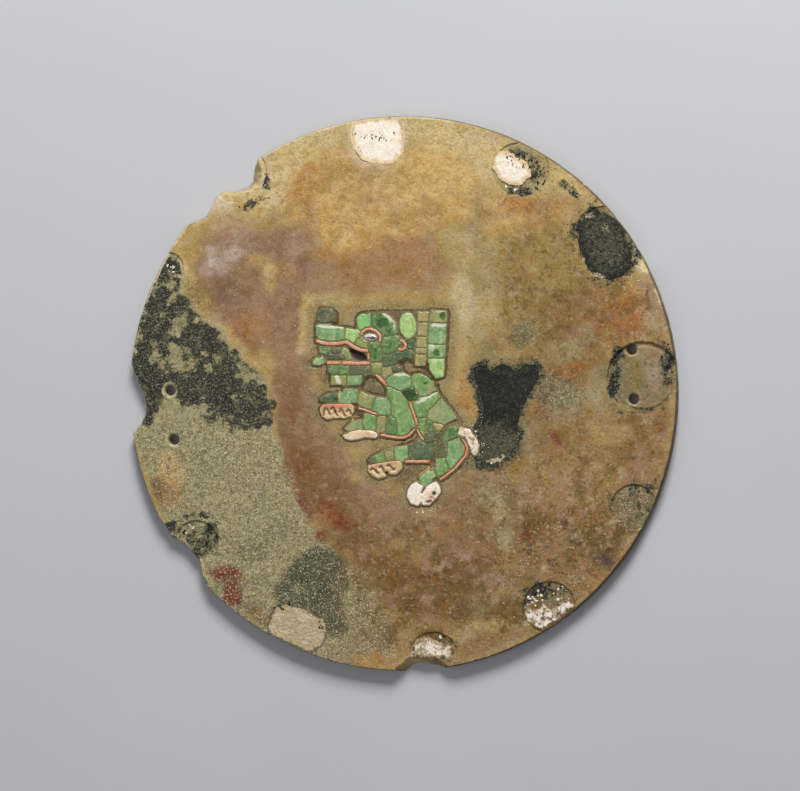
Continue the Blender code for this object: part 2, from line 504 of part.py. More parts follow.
def crowned_levels(outline, base, top):
    """Levels of a piece with upright sides and a top edge worn round, as deep as its size lets it."""
    outline = anticlockwise(outline)
    around = float(np.sum(np.linalg.norm(outline - np.roll(outline, 1, 0), axis=1)))
    crown = min(0.9, 0.8 * signed_area(outline) / around)
    levels = [(outline, base), (outline, top - 0.8 * crown), (grow(outline, -crown), top)]
    if crown > SLIM_CROWN:
        levels.insert(2, (grow(outline, -0.35 * crown), top - 0.25 * crown))
    return levels


def inlay(name, outline, top, material):
    """One inlaid piece, from the bed up to its crowned top."""
    return stack(name, crowned_levels(outline, INLAY_BASE, top), material)


def cluster(name, outlines, top, material):
    """Touching pieces as one solid: their feet meet, and grooves part them above."""
    feet = without_specks(united([grow(outline, TOUCH) for outline in outlines]))
    foot = stack(name, [(feet, INLAY_BASE), (feet, INLAY_BASE + FOOT)], material)
    tiles = [stack(f"{name}_{k}", crowned_levels(outline, INLAY_BASE + FOOT / 2, top), material)
             for k, outline in enumerate(outlines)]
    return combine(foot, tiles, "UNION")


def inlay_outlines():
    """The outlines of every inlaid piece of the animal, by node."""
    shapes = {name: [np.array(corners)] for name, corners in {**TILES, **PAWS}.items()}
    shapes.update({name: [oval(*place, count=12)] for name, place in ROUND_TILES.items()})
    shapes.update({name: row(*lay) for name, lay in TILE_ROWS.items()})
    shapes.update({name: [np.array(corners) for corners in tiles] for name, tiles in TILE_CLUSTERS.items()})
    shapes.update({name: [band(line)] for name, line in SHELL_STRIPS.items()})
    shapes["eye_lens"] = [oval(*EYE, count=14)]
    return shapes


def field(name, margin, low, high, material="mastic"):
    """A body as wide as the sunk field, `margin` past every inlay, with the stone island left out."""
    covered = [grow(outline, margin) for tiles in inlay_outlines().values() for outline in tiles]
    covered += [grow(patch, margin - JOINT) for patch in BARE_MASTIC.values()]
    edge = without_specks(united(covered), 0.4)
    island = grow(ISLAND, JOINT - margin)
    bed = stack(name, [(edge, low), (edge, high)], material)
    return combine(bed, [stack(name + "_island", [(island, low - 1.0), (island, high + 1.0)])], "DIFFERENCE")


def hole_cutter(name, x, y):
    """A drill with a countersink at each face."""
    bore = oval(x, y, HOLE_RADIUS, HOLE_RADIUS, count=14)
    mouth = grow(bore, 1.0 + COUNTERSINK)
    levels = [(mouth, -1.0), (bore, COUNTERSINK), (bore, FACE - COUNTERSINK), (mouth, FACE + 1.0)]
    return stack(name, levels)


def seat_outline(key, count=20):
    x, y, half_width, half_height, turn, squareness = SEATS[key]
    return oval(x, y, half_width, half_height, turn, squareness, count)


def ring_cutter(name):
    """The groove round the ring seat."""
    x, y = SEATS[RING_SEAT][:2]
    outer = oval(x, y, RING_OUTER, RING_OUTER, count=24)
    inner = oval(x, y, RING_INNER, RING_INNER, count=24)
    ring = stack(name, [(outer, FACE - RING_DEPTH), (outer, FACE + 1.0)])
    core = stack(name + "_core", [(inner, FACE - RING_DEPTH - 1.0), (inner, FACE + 2.0)])
    return combine(ring, [core], "DIFFERENCE")


def break_cutter(name, face_line, back_line):
    """What is gone beyond a fracture that runs from its line on the face to its line on the back."""
    face_line, back_line = np.array(face_line), np.array(back_line)
    lean = (face_line - back_line) / FACE
    above, below = face_line + lean, back_line - lean
    levels = []
    for line, height in ((below, -1.0), (above, FACE + 1.0)):
        outside = line[[-1, 0]] * BREAK_REACH
        levels.append((np.vstack((line, outside)), height))
    return stack(name, levels)


def stone_disc():
    """The disc, turned, with its rim broken, its seats and beds sunk and its holes drilled."""
    levels = [(oval(0.0, 0.0, radius, radius, count=RIM_SIDES), height) for radius, height in RIM_PROFILE]
    disc = stack("stone_disc", levels)
    cutters = [break_cutter("break_" + name, *lines) for name, lines in BREAKS.items()]
    cutters += [hole_cutter(f"hole_{k}", x, y) for k, (x, y) in enumerate(HOLES)]
    for key in SEATS:
        edge = seat_outline(key)
        cutters.append(stack("seat_" + key, [(edge, FACE - SEAT_DEPTH), (edge, FACE + 1.0)]))
    cutters.append(ring_cutter("ring"))
    tail = smooth_line(TAIL_BED, 2, closed=True)
    cutters.append(stack("tail", [(tail, FACE - TAIL_DEPTH), (tail, FACE + 1.0)]))
    cutters.append(field("field", JOINT, FACE - FIELD_DEPTH, FACE + 1.0))
    return combine(disc, cutters, "DIFFERENCE")


def beds():
    """The mastic under the animal, and the adhesive that the lost tail was set in."""
    field("figure_mastic", JOINT - GAP, BED_BASE, BED_TOP)
    tail = grow(smooth_line(TAIL_BED, 2, closed=True), -GAP)
    stack("tail_adhesive", [(tail, FACE - TAIL_DEPTH + GAP), (tail, TAIL_ADHESIVE_TOP)], "adhesive")


def rim_remains():
    """What is left in the rim seats."""
    base = FACE - SEAT_DEPTH + GAP
    remains = {name: smooth_line(corners, 2, closed=True) for name, corners in SEAT_REMAINS.items()}
    remains["seat_08_fill"] = grow(seat_outline(FILLED_SEAT), -GAP)
    for name, edge in remains.items():
        levels = [(edge, base), (edge, FACE - 0.1), (grow(edge, -0.3), FACE)]
        stack(name, levels, REMAINS_FINISH.get(name, "white_shell"))


def claw_cutter(name, line):
    """A hooked cut, narrow at its foot and wide at the surface."""
    line = np.array(line)
    half = np.full((len(line), 1), CLAW_CUT_HALF_WIDTH)
    foot = band(np.hstack((line, half * 0.35)))
    mouth = band(np.hstack((line, half)))
    return stack(name, [(foot, PAW_TOP - CLAW_CUT_DEPTH), (mouth, PAW_TOP + 0.2)])


def paws(shapes):
    """The shell paws, with hooked cuts between their claws, and the heel."""
    for name in PAWS:
        material = "tan_shell" if name in TAN_PAWS else "white_shell"
        paw = inlay(name, shapes[name][0], PAW_TOP, material)
        cuts = [claw_cutter(f"{name}_cut_{k}", line) for k, line in enumerate(CLAW_CUTS.get(name, []))]
        if cuts:
            combine(paw, cuts, "DIFFERENCE")


def eye(shapes):
    """A polished lens, domed by the circle's rise: height follows sqrt(1 - inset^2)."""
    edge = shapes["eye_lens"][0]
    rise = EYE_TOP - FACE
    x, y, half_width, half_height, turn = EYE
    levels = [(edge, INLAY_BASE), (edge, FACE)]
    for share in (0.82, 0.5):
        ring = oval(x, y, half_width * share, half_height * share, turn, count=14)
        levels.append((ring, FACE + rise * math.sqrt(1.0 - share**2)))
    levels.append((oval(x, y, half_width * 0.18, half_height * 0.18, turn, count=14), EYE_TOP))
    return stack("eye_lens", levels, "eye")


def animal():
    """Every inlaid piece of the animal."""
    shapes = inlay_outlines()
    for name in (*TILES, *ROUND_TILES, *TILE_ROWS, *TILE_CLUSTERS):
        material = GREEN_OF.get(name, "green_bright")
        make = inlay if len(shapes[name]) == 1 else cluster
        make(name, shapes[name][0] if make is inlay else shapes[name], TILE_TOP, material)
    for name in SHELL_STRIPS:
        inlay(name, shapes[name][0], SHELL_TOP, "coral_shell")
    paws(shapes)
    eye(shapes)


def clear():
    for made in list(bpy.data.objects):
        bpy.data.objects.remove(made)


def main():
    clear()
    stone_disc()
    beds()
    rim_remains()
    animal()


main()
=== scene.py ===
"""The looks of a round stone mirror with an inlaid mosaic animal: stained stone, green stone, shell, mastic.

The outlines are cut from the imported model's own solids, so every fine piece lies where its solid lies.
Lengths are in millimetres from the disc's centre until a mesh is made of them. +Z comes out of the face,
+Y runs from the animal's feet to its head, and the animal walks towards -X.
"""

import json
import math
from types import SimpleNamespace

import bpy
import numpy as np
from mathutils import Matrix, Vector
from mathutils.geometry import delaunay_2d_cdt


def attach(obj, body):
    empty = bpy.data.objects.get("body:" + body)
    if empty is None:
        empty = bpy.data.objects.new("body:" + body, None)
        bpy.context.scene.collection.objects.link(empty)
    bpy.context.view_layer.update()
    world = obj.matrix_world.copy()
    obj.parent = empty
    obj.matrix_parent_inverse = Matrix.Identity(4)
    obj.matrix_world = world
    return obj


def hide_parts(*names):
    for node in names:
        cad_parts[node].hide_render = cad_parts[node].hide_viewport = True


MM = 0.001
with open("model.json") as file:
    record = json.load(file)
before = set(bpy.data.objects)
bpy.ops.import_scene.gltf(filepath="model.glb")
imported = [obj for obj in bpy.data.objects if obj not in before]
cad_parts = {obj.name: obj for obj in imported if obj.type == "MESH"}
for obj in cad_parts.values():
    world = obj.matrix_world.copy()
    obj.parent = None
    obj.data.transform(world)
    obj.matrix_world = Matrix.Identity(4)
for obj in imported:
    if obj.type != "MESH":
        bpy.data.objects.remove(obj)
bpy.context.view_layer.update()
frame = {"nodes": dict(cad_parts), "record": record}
NODES = frame["nodes"]
SLOTS = {part["node"]: part["material_slot"] for part in frame["record"]["subparts"]}

# Heights that the solids share.
FACE = 7.0
RADIUS = 134.93
CHAMFER = 0.75
BED = 5.6
INLAY_BASE = 5.9
TILE_TOP = 7.8
SHELL_TOP = 7.7
PAW_TOP = 7.9
EYE_TOP = 8.1

# Heights at which the solids are cut to read their outlines.
ABOVE_INLAY_FEET = 6.9
FOOT_OF_CLAW_CUTS = 7.15
BELOW_SEATS = 5.5
THROUGH_SEATS = 6.55
THROUGH_GROOVE = 5.9
THROUGH_FIELD = 4.8
THROUGH_REMAINS = 6.7
LOW = 0.9

# Places and radii in plan.
TAIL_MIDDLE = (50.0, -8.0)
HOLE_RADIUS = 2.4
HOLE_MOUTH = 3.3
GROOVE_RADIUS = 16.3


# ---------------------------------------------------------------- plain tools


def eased(value, start, stop):
    """0 before start and 1 after stop, following 3t^2 - 2t^3 between them."""
    t = np.clip((value - start) / (stop - start), 0.0, 1.0)
    return t * t * (3.0 - 2.0 * t)


def faded(value, start, stop):
    """1 before start and 0 after stop."""
    return 1.0 - eased(value, start, stop)


def ripple(x, y, size, seed, octaves=3):
    """Value noise from -1 to 1: random heights on a lattice `size` apart, eased between by 3t^2 - 2t^3.
    Each further octave is half as wide and half as high."""
    table = np.random.default_rng(seed).uniform(-1.0, 1.0, (256, 256))
    total = np.zeros(np.shape(x))
    for k in range(octaves):
        u = np.asarray(x) / size * 2.0**k + 37.3 * (k + 1)
        v = np.asarray(y) / size * 2.0**k + 17.9 * (k + 1)
        i, j = np.floor(u).astype(int), np.floor(v).astype(int)
        s, t = eased(u - i, 0.0, 1.0), eased(v - j, 0.0, 1.0)
        i0, i1, j0, j1 = i & 255, (i + 1) & 255, j & 255, (j + 1) & 255
        low = table[i0, j0] * (1 - s) + table[i1, j0] * s
        high = table[i0, j1] * (1 - s) + table[i1, j1] * s
        total += (low * (1 - t) + high * t) / 2.0**k
    return total / (2.0 - 0.5 ** (octaves - 1))


def sway(x, y, size, seed, octaves=3):
    """Noise in both directions of the plan, one row for each place."""
    return np.column_stack((ripple(x, y, size, seed, octaves), ripple(x, y, size, seed + 1, octaves)))


def rotated(x, y, angle):
    """The places turned about the origin."""
    c, s = np.cos(angle), np.sin(angle)
    return x * c - y * s, x * s + y * c


def section(node, height):
    """The closed outlines where a level plane cuts a node, longest first, with the solid on their left.
    Each cut triangle gives one step, from where its edge goes down through the plane to where one comes up."""
    mesh = NODES[node].data
    mesh.calc_loop_triangles()
    corners = np.empty(len(mesh.vertices) * 3, np.float32)
    mesh.vertices.foreach_get("co", corners)
    picked = np.empty(len(mesh.loop_triangles) * 3, np.int32)
    mesh.loop_triangles.foreach_get("vertices", picked)
    triangles = (corners.reshape(-1, 3).astype(float) / MM)[picked].reshape(-1, 3, 3)
    above = triangles[:, :, 2] > height
    cut = above.any(axis=1) & ~above.all(axis=1)
    triangles, above = triangles[cut], above[cut]
    ends = np.zeros((2, len(triangles), 2))
    for k in range(3):
        here, there = triangles[:, k], triangles[:, (k + 1) % 3]
        up = ~above[:, k] & above[:, (k + 1) % 3]
        down = above[:, k] & ~above[:, (k + 1) % 3]
        for side, crossing, low, high in ((1, up, here, there), (0, down, there, here)):
            share = (height - low[crossing, 2]) / (high[crossing, 2] - low[crossing, 2])
            ends[side, crossing] = low[crossing, :2] + (high - low)[crossing, :2] * share[:, None]
    starts, stops = (list(map(tuple, np.round(end, 3))) for end in ends)
    following = {a: b for a, b in zip(starts, stops) if a != b}
    loops = []
    while following:
        start, here = following.popitem()
        loop = [start]
        while here != start:
            loop.append(here)
            here = following.pop(here)
        loops.append(np.array(loop))
    return sorted(loops, key=length_round, reverse=True)


def length_round(loop):
    return float(np.sum(np.linalg.norm(loop - np.roll(loop, 1, 0), axis=1)))


def area_inside(loop):
    x, y = loop.T
    return 0.5 * float(np.sum(x * np.roll(y, -1) - np.roll(x, -1) * y))


def spaced(loop, spacing):
    """The outline as points about `spacing` apart."""
    closed = np.vstack((loop, loop[:1]))
    run = np.concatenate(([0.0], np.cumsum(np.linalg.norm(np.diff(closed, axis=0), axis=1))))
    at = np.linspace(0.0, run[-1], max(8, round(run[-1] / spacing)), endpoint=False)
    return np.column_stack([np.interp(at, run, closed[:, k]) for k in (0, 1)])


def softened(loop, corner, spacing):
    """The outline with its corners worn round: a running mean along it, weighted by a raised cosine that is
    `corner` wide."""
    fine = spaced(loop, corner / 8.0)
    weights = np.zeros(len(fine))
    bell = np.hanning(11)[1:-1]
    weights[: len(bell)] = bell / bell.sum()
    weights = np.roll(weights, -(len(bell) // 2))
    smooth = np.fft.ifft(np.fft.fft(fine, axis=0) * np.fft.fft(weights)[:, None], axis=0).real
    return spaced(smooth, spacing)


def outward(loop):
    """Unit normals of an anticlockwise outline, pointing out of it."""
    step = np.roll(loop, -1, 0) - np.roll(loop, 1, 0)
    step /= np.maximum(np.linalg.norm(step, axis=1), 1e-9)[:, None]
    return np.column_stack((step[:, 1], -step[:, 0]))


def pushed(loop, amount):
    """The outline moved outwards, by one amount or by one for each point."""
    return loop + outward(loop) * np.reshape(amount, (-1, 1))


def inside(points, loops, reach=12.0):
    """How far each point lies inside the outlines, negative outside: the distance to the nearest edge, at most
    `reach`, signed by how many edges a ray towards -X crosses. Points are taken in square blocks, and a block
    is only measured against the edges near it."""
    starts = np.vstack(loops)
    stops = np.vstack([np.roll(loop, -1, 0) for loop in loops])
    step = stops - starts
    squared = np.maximum(np.sum(step**2, axis=1), 1e-12)
    low, high = np.minimum(starts, stops), np.maximum(starts, stops)
    slant = step[:, 0] / np.where(step[:, 1] == 0.0, 1e-12, step[:, 1])
    block = np.floor(points / 8.0).astype(int) @ (1, 4096)
    order = np.argsort(block, kind="stable")
    depths = np.empty(len(points))
    for chosen in np.split(order, np.flatnonzero(np.diff(block[order])) + 1):
        some = points[chosen]
        least, most = some.min(0), some.max(0)
        near = np.flatnonzero(np.all((low < most + reach) & (high > least - reach), axis=1))
        left = np.flatnonzero((low[:, 1] <= most[1]) & (high[:, 1] >= least[1]) & (low[:, 0] <= most[0]))
        far = np.full(len(some), reach * reach)
        if len(near):
            gap = some[:, None, :] - starts[near]
            share = np.clip(np.sum(gap * step[near], axis=2) / squared[near], 0.0, 1.0)
            far = np.minimum(far, np.min(np.sum((gap - share[:, :, None] * step[near]) ** 2, axis=2), axis=1))
        elif len(left):
            some = some[:1]
        y = some[:, 1:2]
        crosses = (starts[left, 1] > y) != (stops[left, 1] > y)
        at = starts[left, 0] + (y - starts[left, 1]) * slant[left]
        odd = np.sum(crosses & (at < some[:, 0:1]), axis=1) % 2 == 1
        depths[chosen] = np.where(odd, 1.0, -1.0) * np.sqrt(far)
    return depths


def depth_in(edge, x, y):
    """How far each place lies inside one outline."""
    return inside(np.column_stack((x, y)), [edge])


def widened(loop, amount, spacing):
    """The outline moved outwards, without the points that end up nearer than that to where it was."""
    moved = pushed(loop, amount)
    return spaced(moved[-inside(moved, [loop]) > 0.8 * amount - 0.01], spacing)


def nearest(points, starts, stops):
    """Distance from each point to the nearest of the straight pieces from starts to stops."""
    step = stops - starts
    gap = points[:, None, :] - starts
    share = np.clip(np.sum(gap * step, axis=2) / np.maximum(np.sum(step**2, axis=1), 1e-12), 0.0, 1.0)
    return np.sqrt(np.min(np.sum((gap - share[:, :, None] * step) ** 2, axis=2), axis=1))


STRAY = 0.22


def honeycomb(low, high, spacing, seed):
    """Points in staggered rows that fill a rectangle, each moved a little at random."""
    across = np.arange(low[0], high[0] + spacing, spacing)
    up = np.arange(low[1], high[1] + spacing, spacing * math.sqrt(0.75))
    x, y = np.meshgrid(across, up)
    x = x + spacing * 0.5 * (np.arange(len(up)) % 2)[:, None]
    points = np.column_stack((x.ravel(), y.ravel()))
    return points + np.random.default_rng(seed).uniform(-STRAY, STRAY, points.shape) * spacing


def triangulated(points, loops):
    """Triangles over the points, inside the first loop and outside the others. Loops are index ranges."""
    edges = [(a, b) for loop in loops[1:] for a, b in zip(loop, np.roll(loop, -1))]
    corners, _, triangles, *_ = delaunay_2d_cdt(
        list(map(tuple, points)), [tuple(map(int, e)) for e in edges], [list(map(int, loops[0]))], 1, 1e-7
    )
    triangles = np.array(triangles)
    if len(corners) != len(points):
        raise ValueError("two points of a plan fall together")
    if len(loops) > 1:
        middle = points[triangles].mean(axis=1)
        triangles = triangles[inside(middle, [points[loop] for loop in loops[1:]]) < 0.0]
    return triangles


def spans(loops):
    """The index range of each of several loops that are stacked one after another."""
    starts = np.cumsum([0, *map(len, loops)])
    return [np.arange(start, stop) for start, stop in zip(starts[:-1], starts[1:])]


def walled(upper, lower):
    """The faces of a wall between two rings of as many corners."""
    return np.column_stack((upper, lower, np.roll(lower, -1), np.roll(upper, -1))).tolist()


def thinned(points, closest):
    """The points without those that share a square of `closest` with an earlier one."""
    _, first = np.unique(np.round(points / closest).astype(int), axis=0, return_index=True)
    return points[np.sort(first)]


def piece(name, vertices, faces, finish, slot, nodes, sharp=35.0, **attributes):
    """A mesh object of the part: vertices in mm, faces as lists, one value or colour per vertex for each
    attribute."""
    mesh = bpy.data.meshes.new(name)
    mesh.from_pydata(vertices * MM, [], faces)
    for key, values in attributes.items():
        if values.ndim == 2:
            layer = mesh.attributes.new(key, "FLOAT_COLOR", "POINT")
            layer.data.foreach_set("color", np.column_stack((values, np.ones(len(values)))).ravel())
        else:
            mesh.attributes.new(key, "FLOAT", "POINT").data.foreach_set("value", values)
    mesh.shade_smooth()
    mesh.set_sharp_from_angle(angle=math.radians(sharp))
    mesh.materials.append(finish)
    made = placed(name, mesh)
    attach(made, "root")
    if nodes:
        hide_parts(*nodes)


def raised(name, edge, height, base, spacing, seed, finish, node, paint):
    """A closed body in a node's place: its plan filled with points, each raised to height(x, y), with upright
    sides and a level underside at `base`, and its masks from paint(x, y)."""
    scattered = honeycomb(edge.min(0), edge.max(0), spacing, seed)
    scattered = scattered[inside(scattered, [edge]) > 0.45 * spacing]
    plan = np.vstack((edge, scattered))
    rim = np.arange(len(edge))
    top = triangulated(plan, [rim])
    upper = np.column_stack((plan, height(plan[:, 0], plan[:, 1])))
    lower = np.column_stack((edge, np.full(len(edge), base)))
    faces = [*top.tolist(), *walled(rim, rim + len(plan)), (rim[::-1] + len(plan)).tolist()]
    vertices = np.vstack((upper, lower))
    piece(name, vertices, faces, finish, SLOTS[node], (node,), **paint(vertices[:, 0], vertices[:, 1]))


# ---------------------------------------------------------------- colours


LIT = 1.13
SHEEN = 0.022
DARKEST = 0.003
PALEST = 0.95


def tone(red, green, blue):
    """A surface colour from its look under the lamps, 0 to 255: the look in linear light, less the faint sheen
    of the sky on it, over how brightly the lamps light a level surface."""
    linear = [((c / 255.0 + 0.055) / 1.055) ** 2.4 for c in (red, green, blue)]
    return tuple(min(PALEST, max(DARKEST, c - SHEEN) / LIT) for c in linear)


STONE_TONES = {name: tone(*look) for name, look in {
    "ochre": (174, 146, 92), "gold": (196, 157, 98), "amber": (210, 178, 116), "brown": (134, 104, 70),
    "honey": (202, 162, 98), "haze": (206, 190, 178), "cream": (208, 190, 146), "straw": (196, 172, 116),
    "khaki": (158, 150, 113), "violet": (146, 112, 88), "lilac": (178, 152, 134), "orange": (180, 128, 70),
    "apricot": (184, 142, 92), "umber": (126, 92, 54), "red_brown": (124, 76, 48), "dark_red": (112, 48, 32),
    "olive": (146, 124, 72), "sand": (156, 146, 108), "grey_green": (120, 118, 90), "taupe": (140, 124, 94),
    "mauve": (146, 114, 88), "rust": (168, 108, 58), "rose": (178, 148, 120), "slate": (70, 72, 57),
    "plum": (104, 80, 72), "black": (44, 44, 36), "white": (234, 220, 194), "peach": (214, 182, 146),
}.items()}

# Broad stains: tone, strength, softness of the edge, and the corners of its outline.
FIELDS = [
    ("gold", 0.85, 8, (-66, 100), (-52, 122), (-20, 116), (20, 120), (44, 100), (30, 84), (-8, 68), (-34, 68),
     (-46, 82)),
    ("straw", 0.8, 4, (-62, 98), (-68, 112), (-50, 127), (-20, 135), (20, 136), (50, 128), (20, 122),
     (-20, 124), (-50, 114)),
    ("straw", 0.75, 4, (70, 96), (66, 112), (84, 108), (102, 88), (92, 84), (84, 94)),
    ("khaki", 0.45, 5, (24, 30), (24, 76), (38, 86), (48, 60), (46, 34), (34, 22)),
    ("violet", 0.6, 7, (-60, 46), (-58, 84), (-44, 92), (-40, 76), (-30, 66), (-16, 66), (-4, 76), (14, 74),
     (24, 60), (20, 50), (-30, 48)),
    ("rust", 0.3, 6, (-34, 62), (-20, 74), (-2, 78), (16, 72), (14, 54), (-20, 50)),
    ("violet", 0.85, 6, (-102, 66), (-92, 82), (-60, 84), (-46, 78), (-42, 60), (-52, 44), (-86, 40),
     (-100, 48)),
    ("lilac", 0.7, 3, (-100, 58), (-97, 72), (-86, 74), (-80, 66), (-86, 57)),
    ("plum", 0.3, 4, (-100, 50), (-92, 60), (-76, 58), (-78, 46), (-92, 44)),
    ("mauve", 0.85, 5, (-92, 44), (-70, 48), (-54, 44), (-56, 26), (-72, 22), (-84, 28)),
    ("violet", 0.8, 4, (-66, 44), (-46, 46), (-45, 10), (-36, -14), (-22, -34), (-6, -46), (8, -60),
     (-10, -74), (-34, -74), (-50, -56), (-60, -30), (-63, 0)),
    ("brown", 0.7, 5, (-64, 12), (-53, 10), (-46, -14), (-34, -32), (-20, -48), (-14, -70), (-32, -74),
     (-50, -56), (-60, -26)),
    ("umber", 0.6, 4, (-60, -28), (-50, -26), (-38, -42), (-26, -54), (-18, -64), (-26, -70), (-38, -66),
     (-50, -54)),
    ("straw", 0.6, 3, (-116, 74), (-108, 76), (-105, 56), (-95, 44), (-83, 29), (-74, 19), (-71, 8), (-78, 14),
     (-89, 28), (-104, 44), (-112, 58)),
    ("khaki", 0.9, 3, (-119, 70), (-110, 66), (-106, 44), (-90, 32), (-83, 18), (-73, 14), (-66, 0),
     (-63, -26), (-110, -26), (-136, -20), (-136, 30)),
    ("sand", 0.95, 4, (-136, -18), (-100, -14), (-66, -14), (-60, -30), (-52, -52), (-42, -68), (-30, -78),
     (-20, -94), (-10, -110), (-4, -126), (-40, -134), (-100, -100)),
    ("slate", 0.85, 3, (-40, -72), (-29, -75), (-25, -90), (-31, -101), (-29, -117), (-38, -115), (-46, -106),
     (-62, -101), (-62, -91), (-52, -80)),
    ("umber", 0.85, 6, (-24, -80), (-8, -76), (10, -84), (34, -78), (48, -92), (42, -108), (14, -112),
     (-8, -106), (-16, -94)),
    ("olive", 0.5, 4, (-27, -82), (-12, -80), (-8, -104), (-18, -112), (-22, -96)),
    ("mauve", 0.75, 6, (4, -44), (44, -38), (48, -60), (44, -84), (20, -84), (0, -70)),
    ("mauve", 0.6, 8, (60, -40), (100, -56), (112, -70), (90, -96), (56, -90), (50, -66)),
    ("mauve", 0.5, 5, (30, -112), (60, -112), (56, -126), (28, -132)),
    ("olive", 0.85, 7, (44, 36), (48, 84), (78, 84), (92, 60), (98, 30), (84, 16), (60, 26)),
    ("apricot", 0.6, 5, (36, 92), (52, 97), (84, 96), (86, 84), (60, 82)),
    ("orange", 0.5, 5, (88, 58), (118, 54), (119, 24), (98, 22), (94, 40)),
    ("rust", 0.8, 3, (98, 48), (117, 46), (118, 26), (104, 26)),
    ("rose", 0.7, 2.5, (119, 56), (127, 54), (134, 26), (121, 28)),
    ("grey_green", 0.6, 4, (68, 8), (78, 12), (90, 6), (90, -8), (78, -10), (68, -4)),
    ("grey_green", 0.5, 3, (56, 34), (66, 34), (68, 24), (60, 22)),
    ("khaki", 0.5, 4, (58, -8), (70, -10), (74, -34), (58, -38), (54, -20)),
    ("sand", 0.55, 3, (38, -34), (50, -38), (62, -46), (60, -60), (48, -68), (42, -54), (36, -44)),
    ("orange", 0.45, 3, (26, 10), (36, 8), (40, -14), (30, -12)),
    ("orange", 0.5, 2.5, (62, 2), (68, 4), (67, -10), (61, -8)),
    ("red_brown", 0.45, 5, (98, -16), (133, -8), (132, -40), (120, -44), (104, -40)),
    ("apricot", 0.4, 5, (76, -14), (98, -14), (96, -60), (72, -70), (66, -50)),
    ("orange", 0.4, 3, (-36, -124), (0, -130), (20, -134), (-30, -135)),
    ("gold", 0.9, 1.6, (-42, 98), (-35, 104), (-26, 93), (-19, 79), (-23, 72), (-33, 75), (-38, 84)),
    ("umber", 0.3, 8, (60, 46), (96, 50), (98, 20), (92, -14), (98, -36), (70, -36), (58, -20), (72, 10)),
    # Painted shade: this broad umber coat darkens the lower right of the face.
    ("umber", 0.34, 14, (30, -40), (60, 24), (136, 50), (136, -40), (100, -104), (20, -136), (-30, -124),
     (-30, -70)),
    ("slate", 0.6, 3, (28, -18), (40, -12), (58, -18), (62, -30), (48, -37), (32, -36)),
]

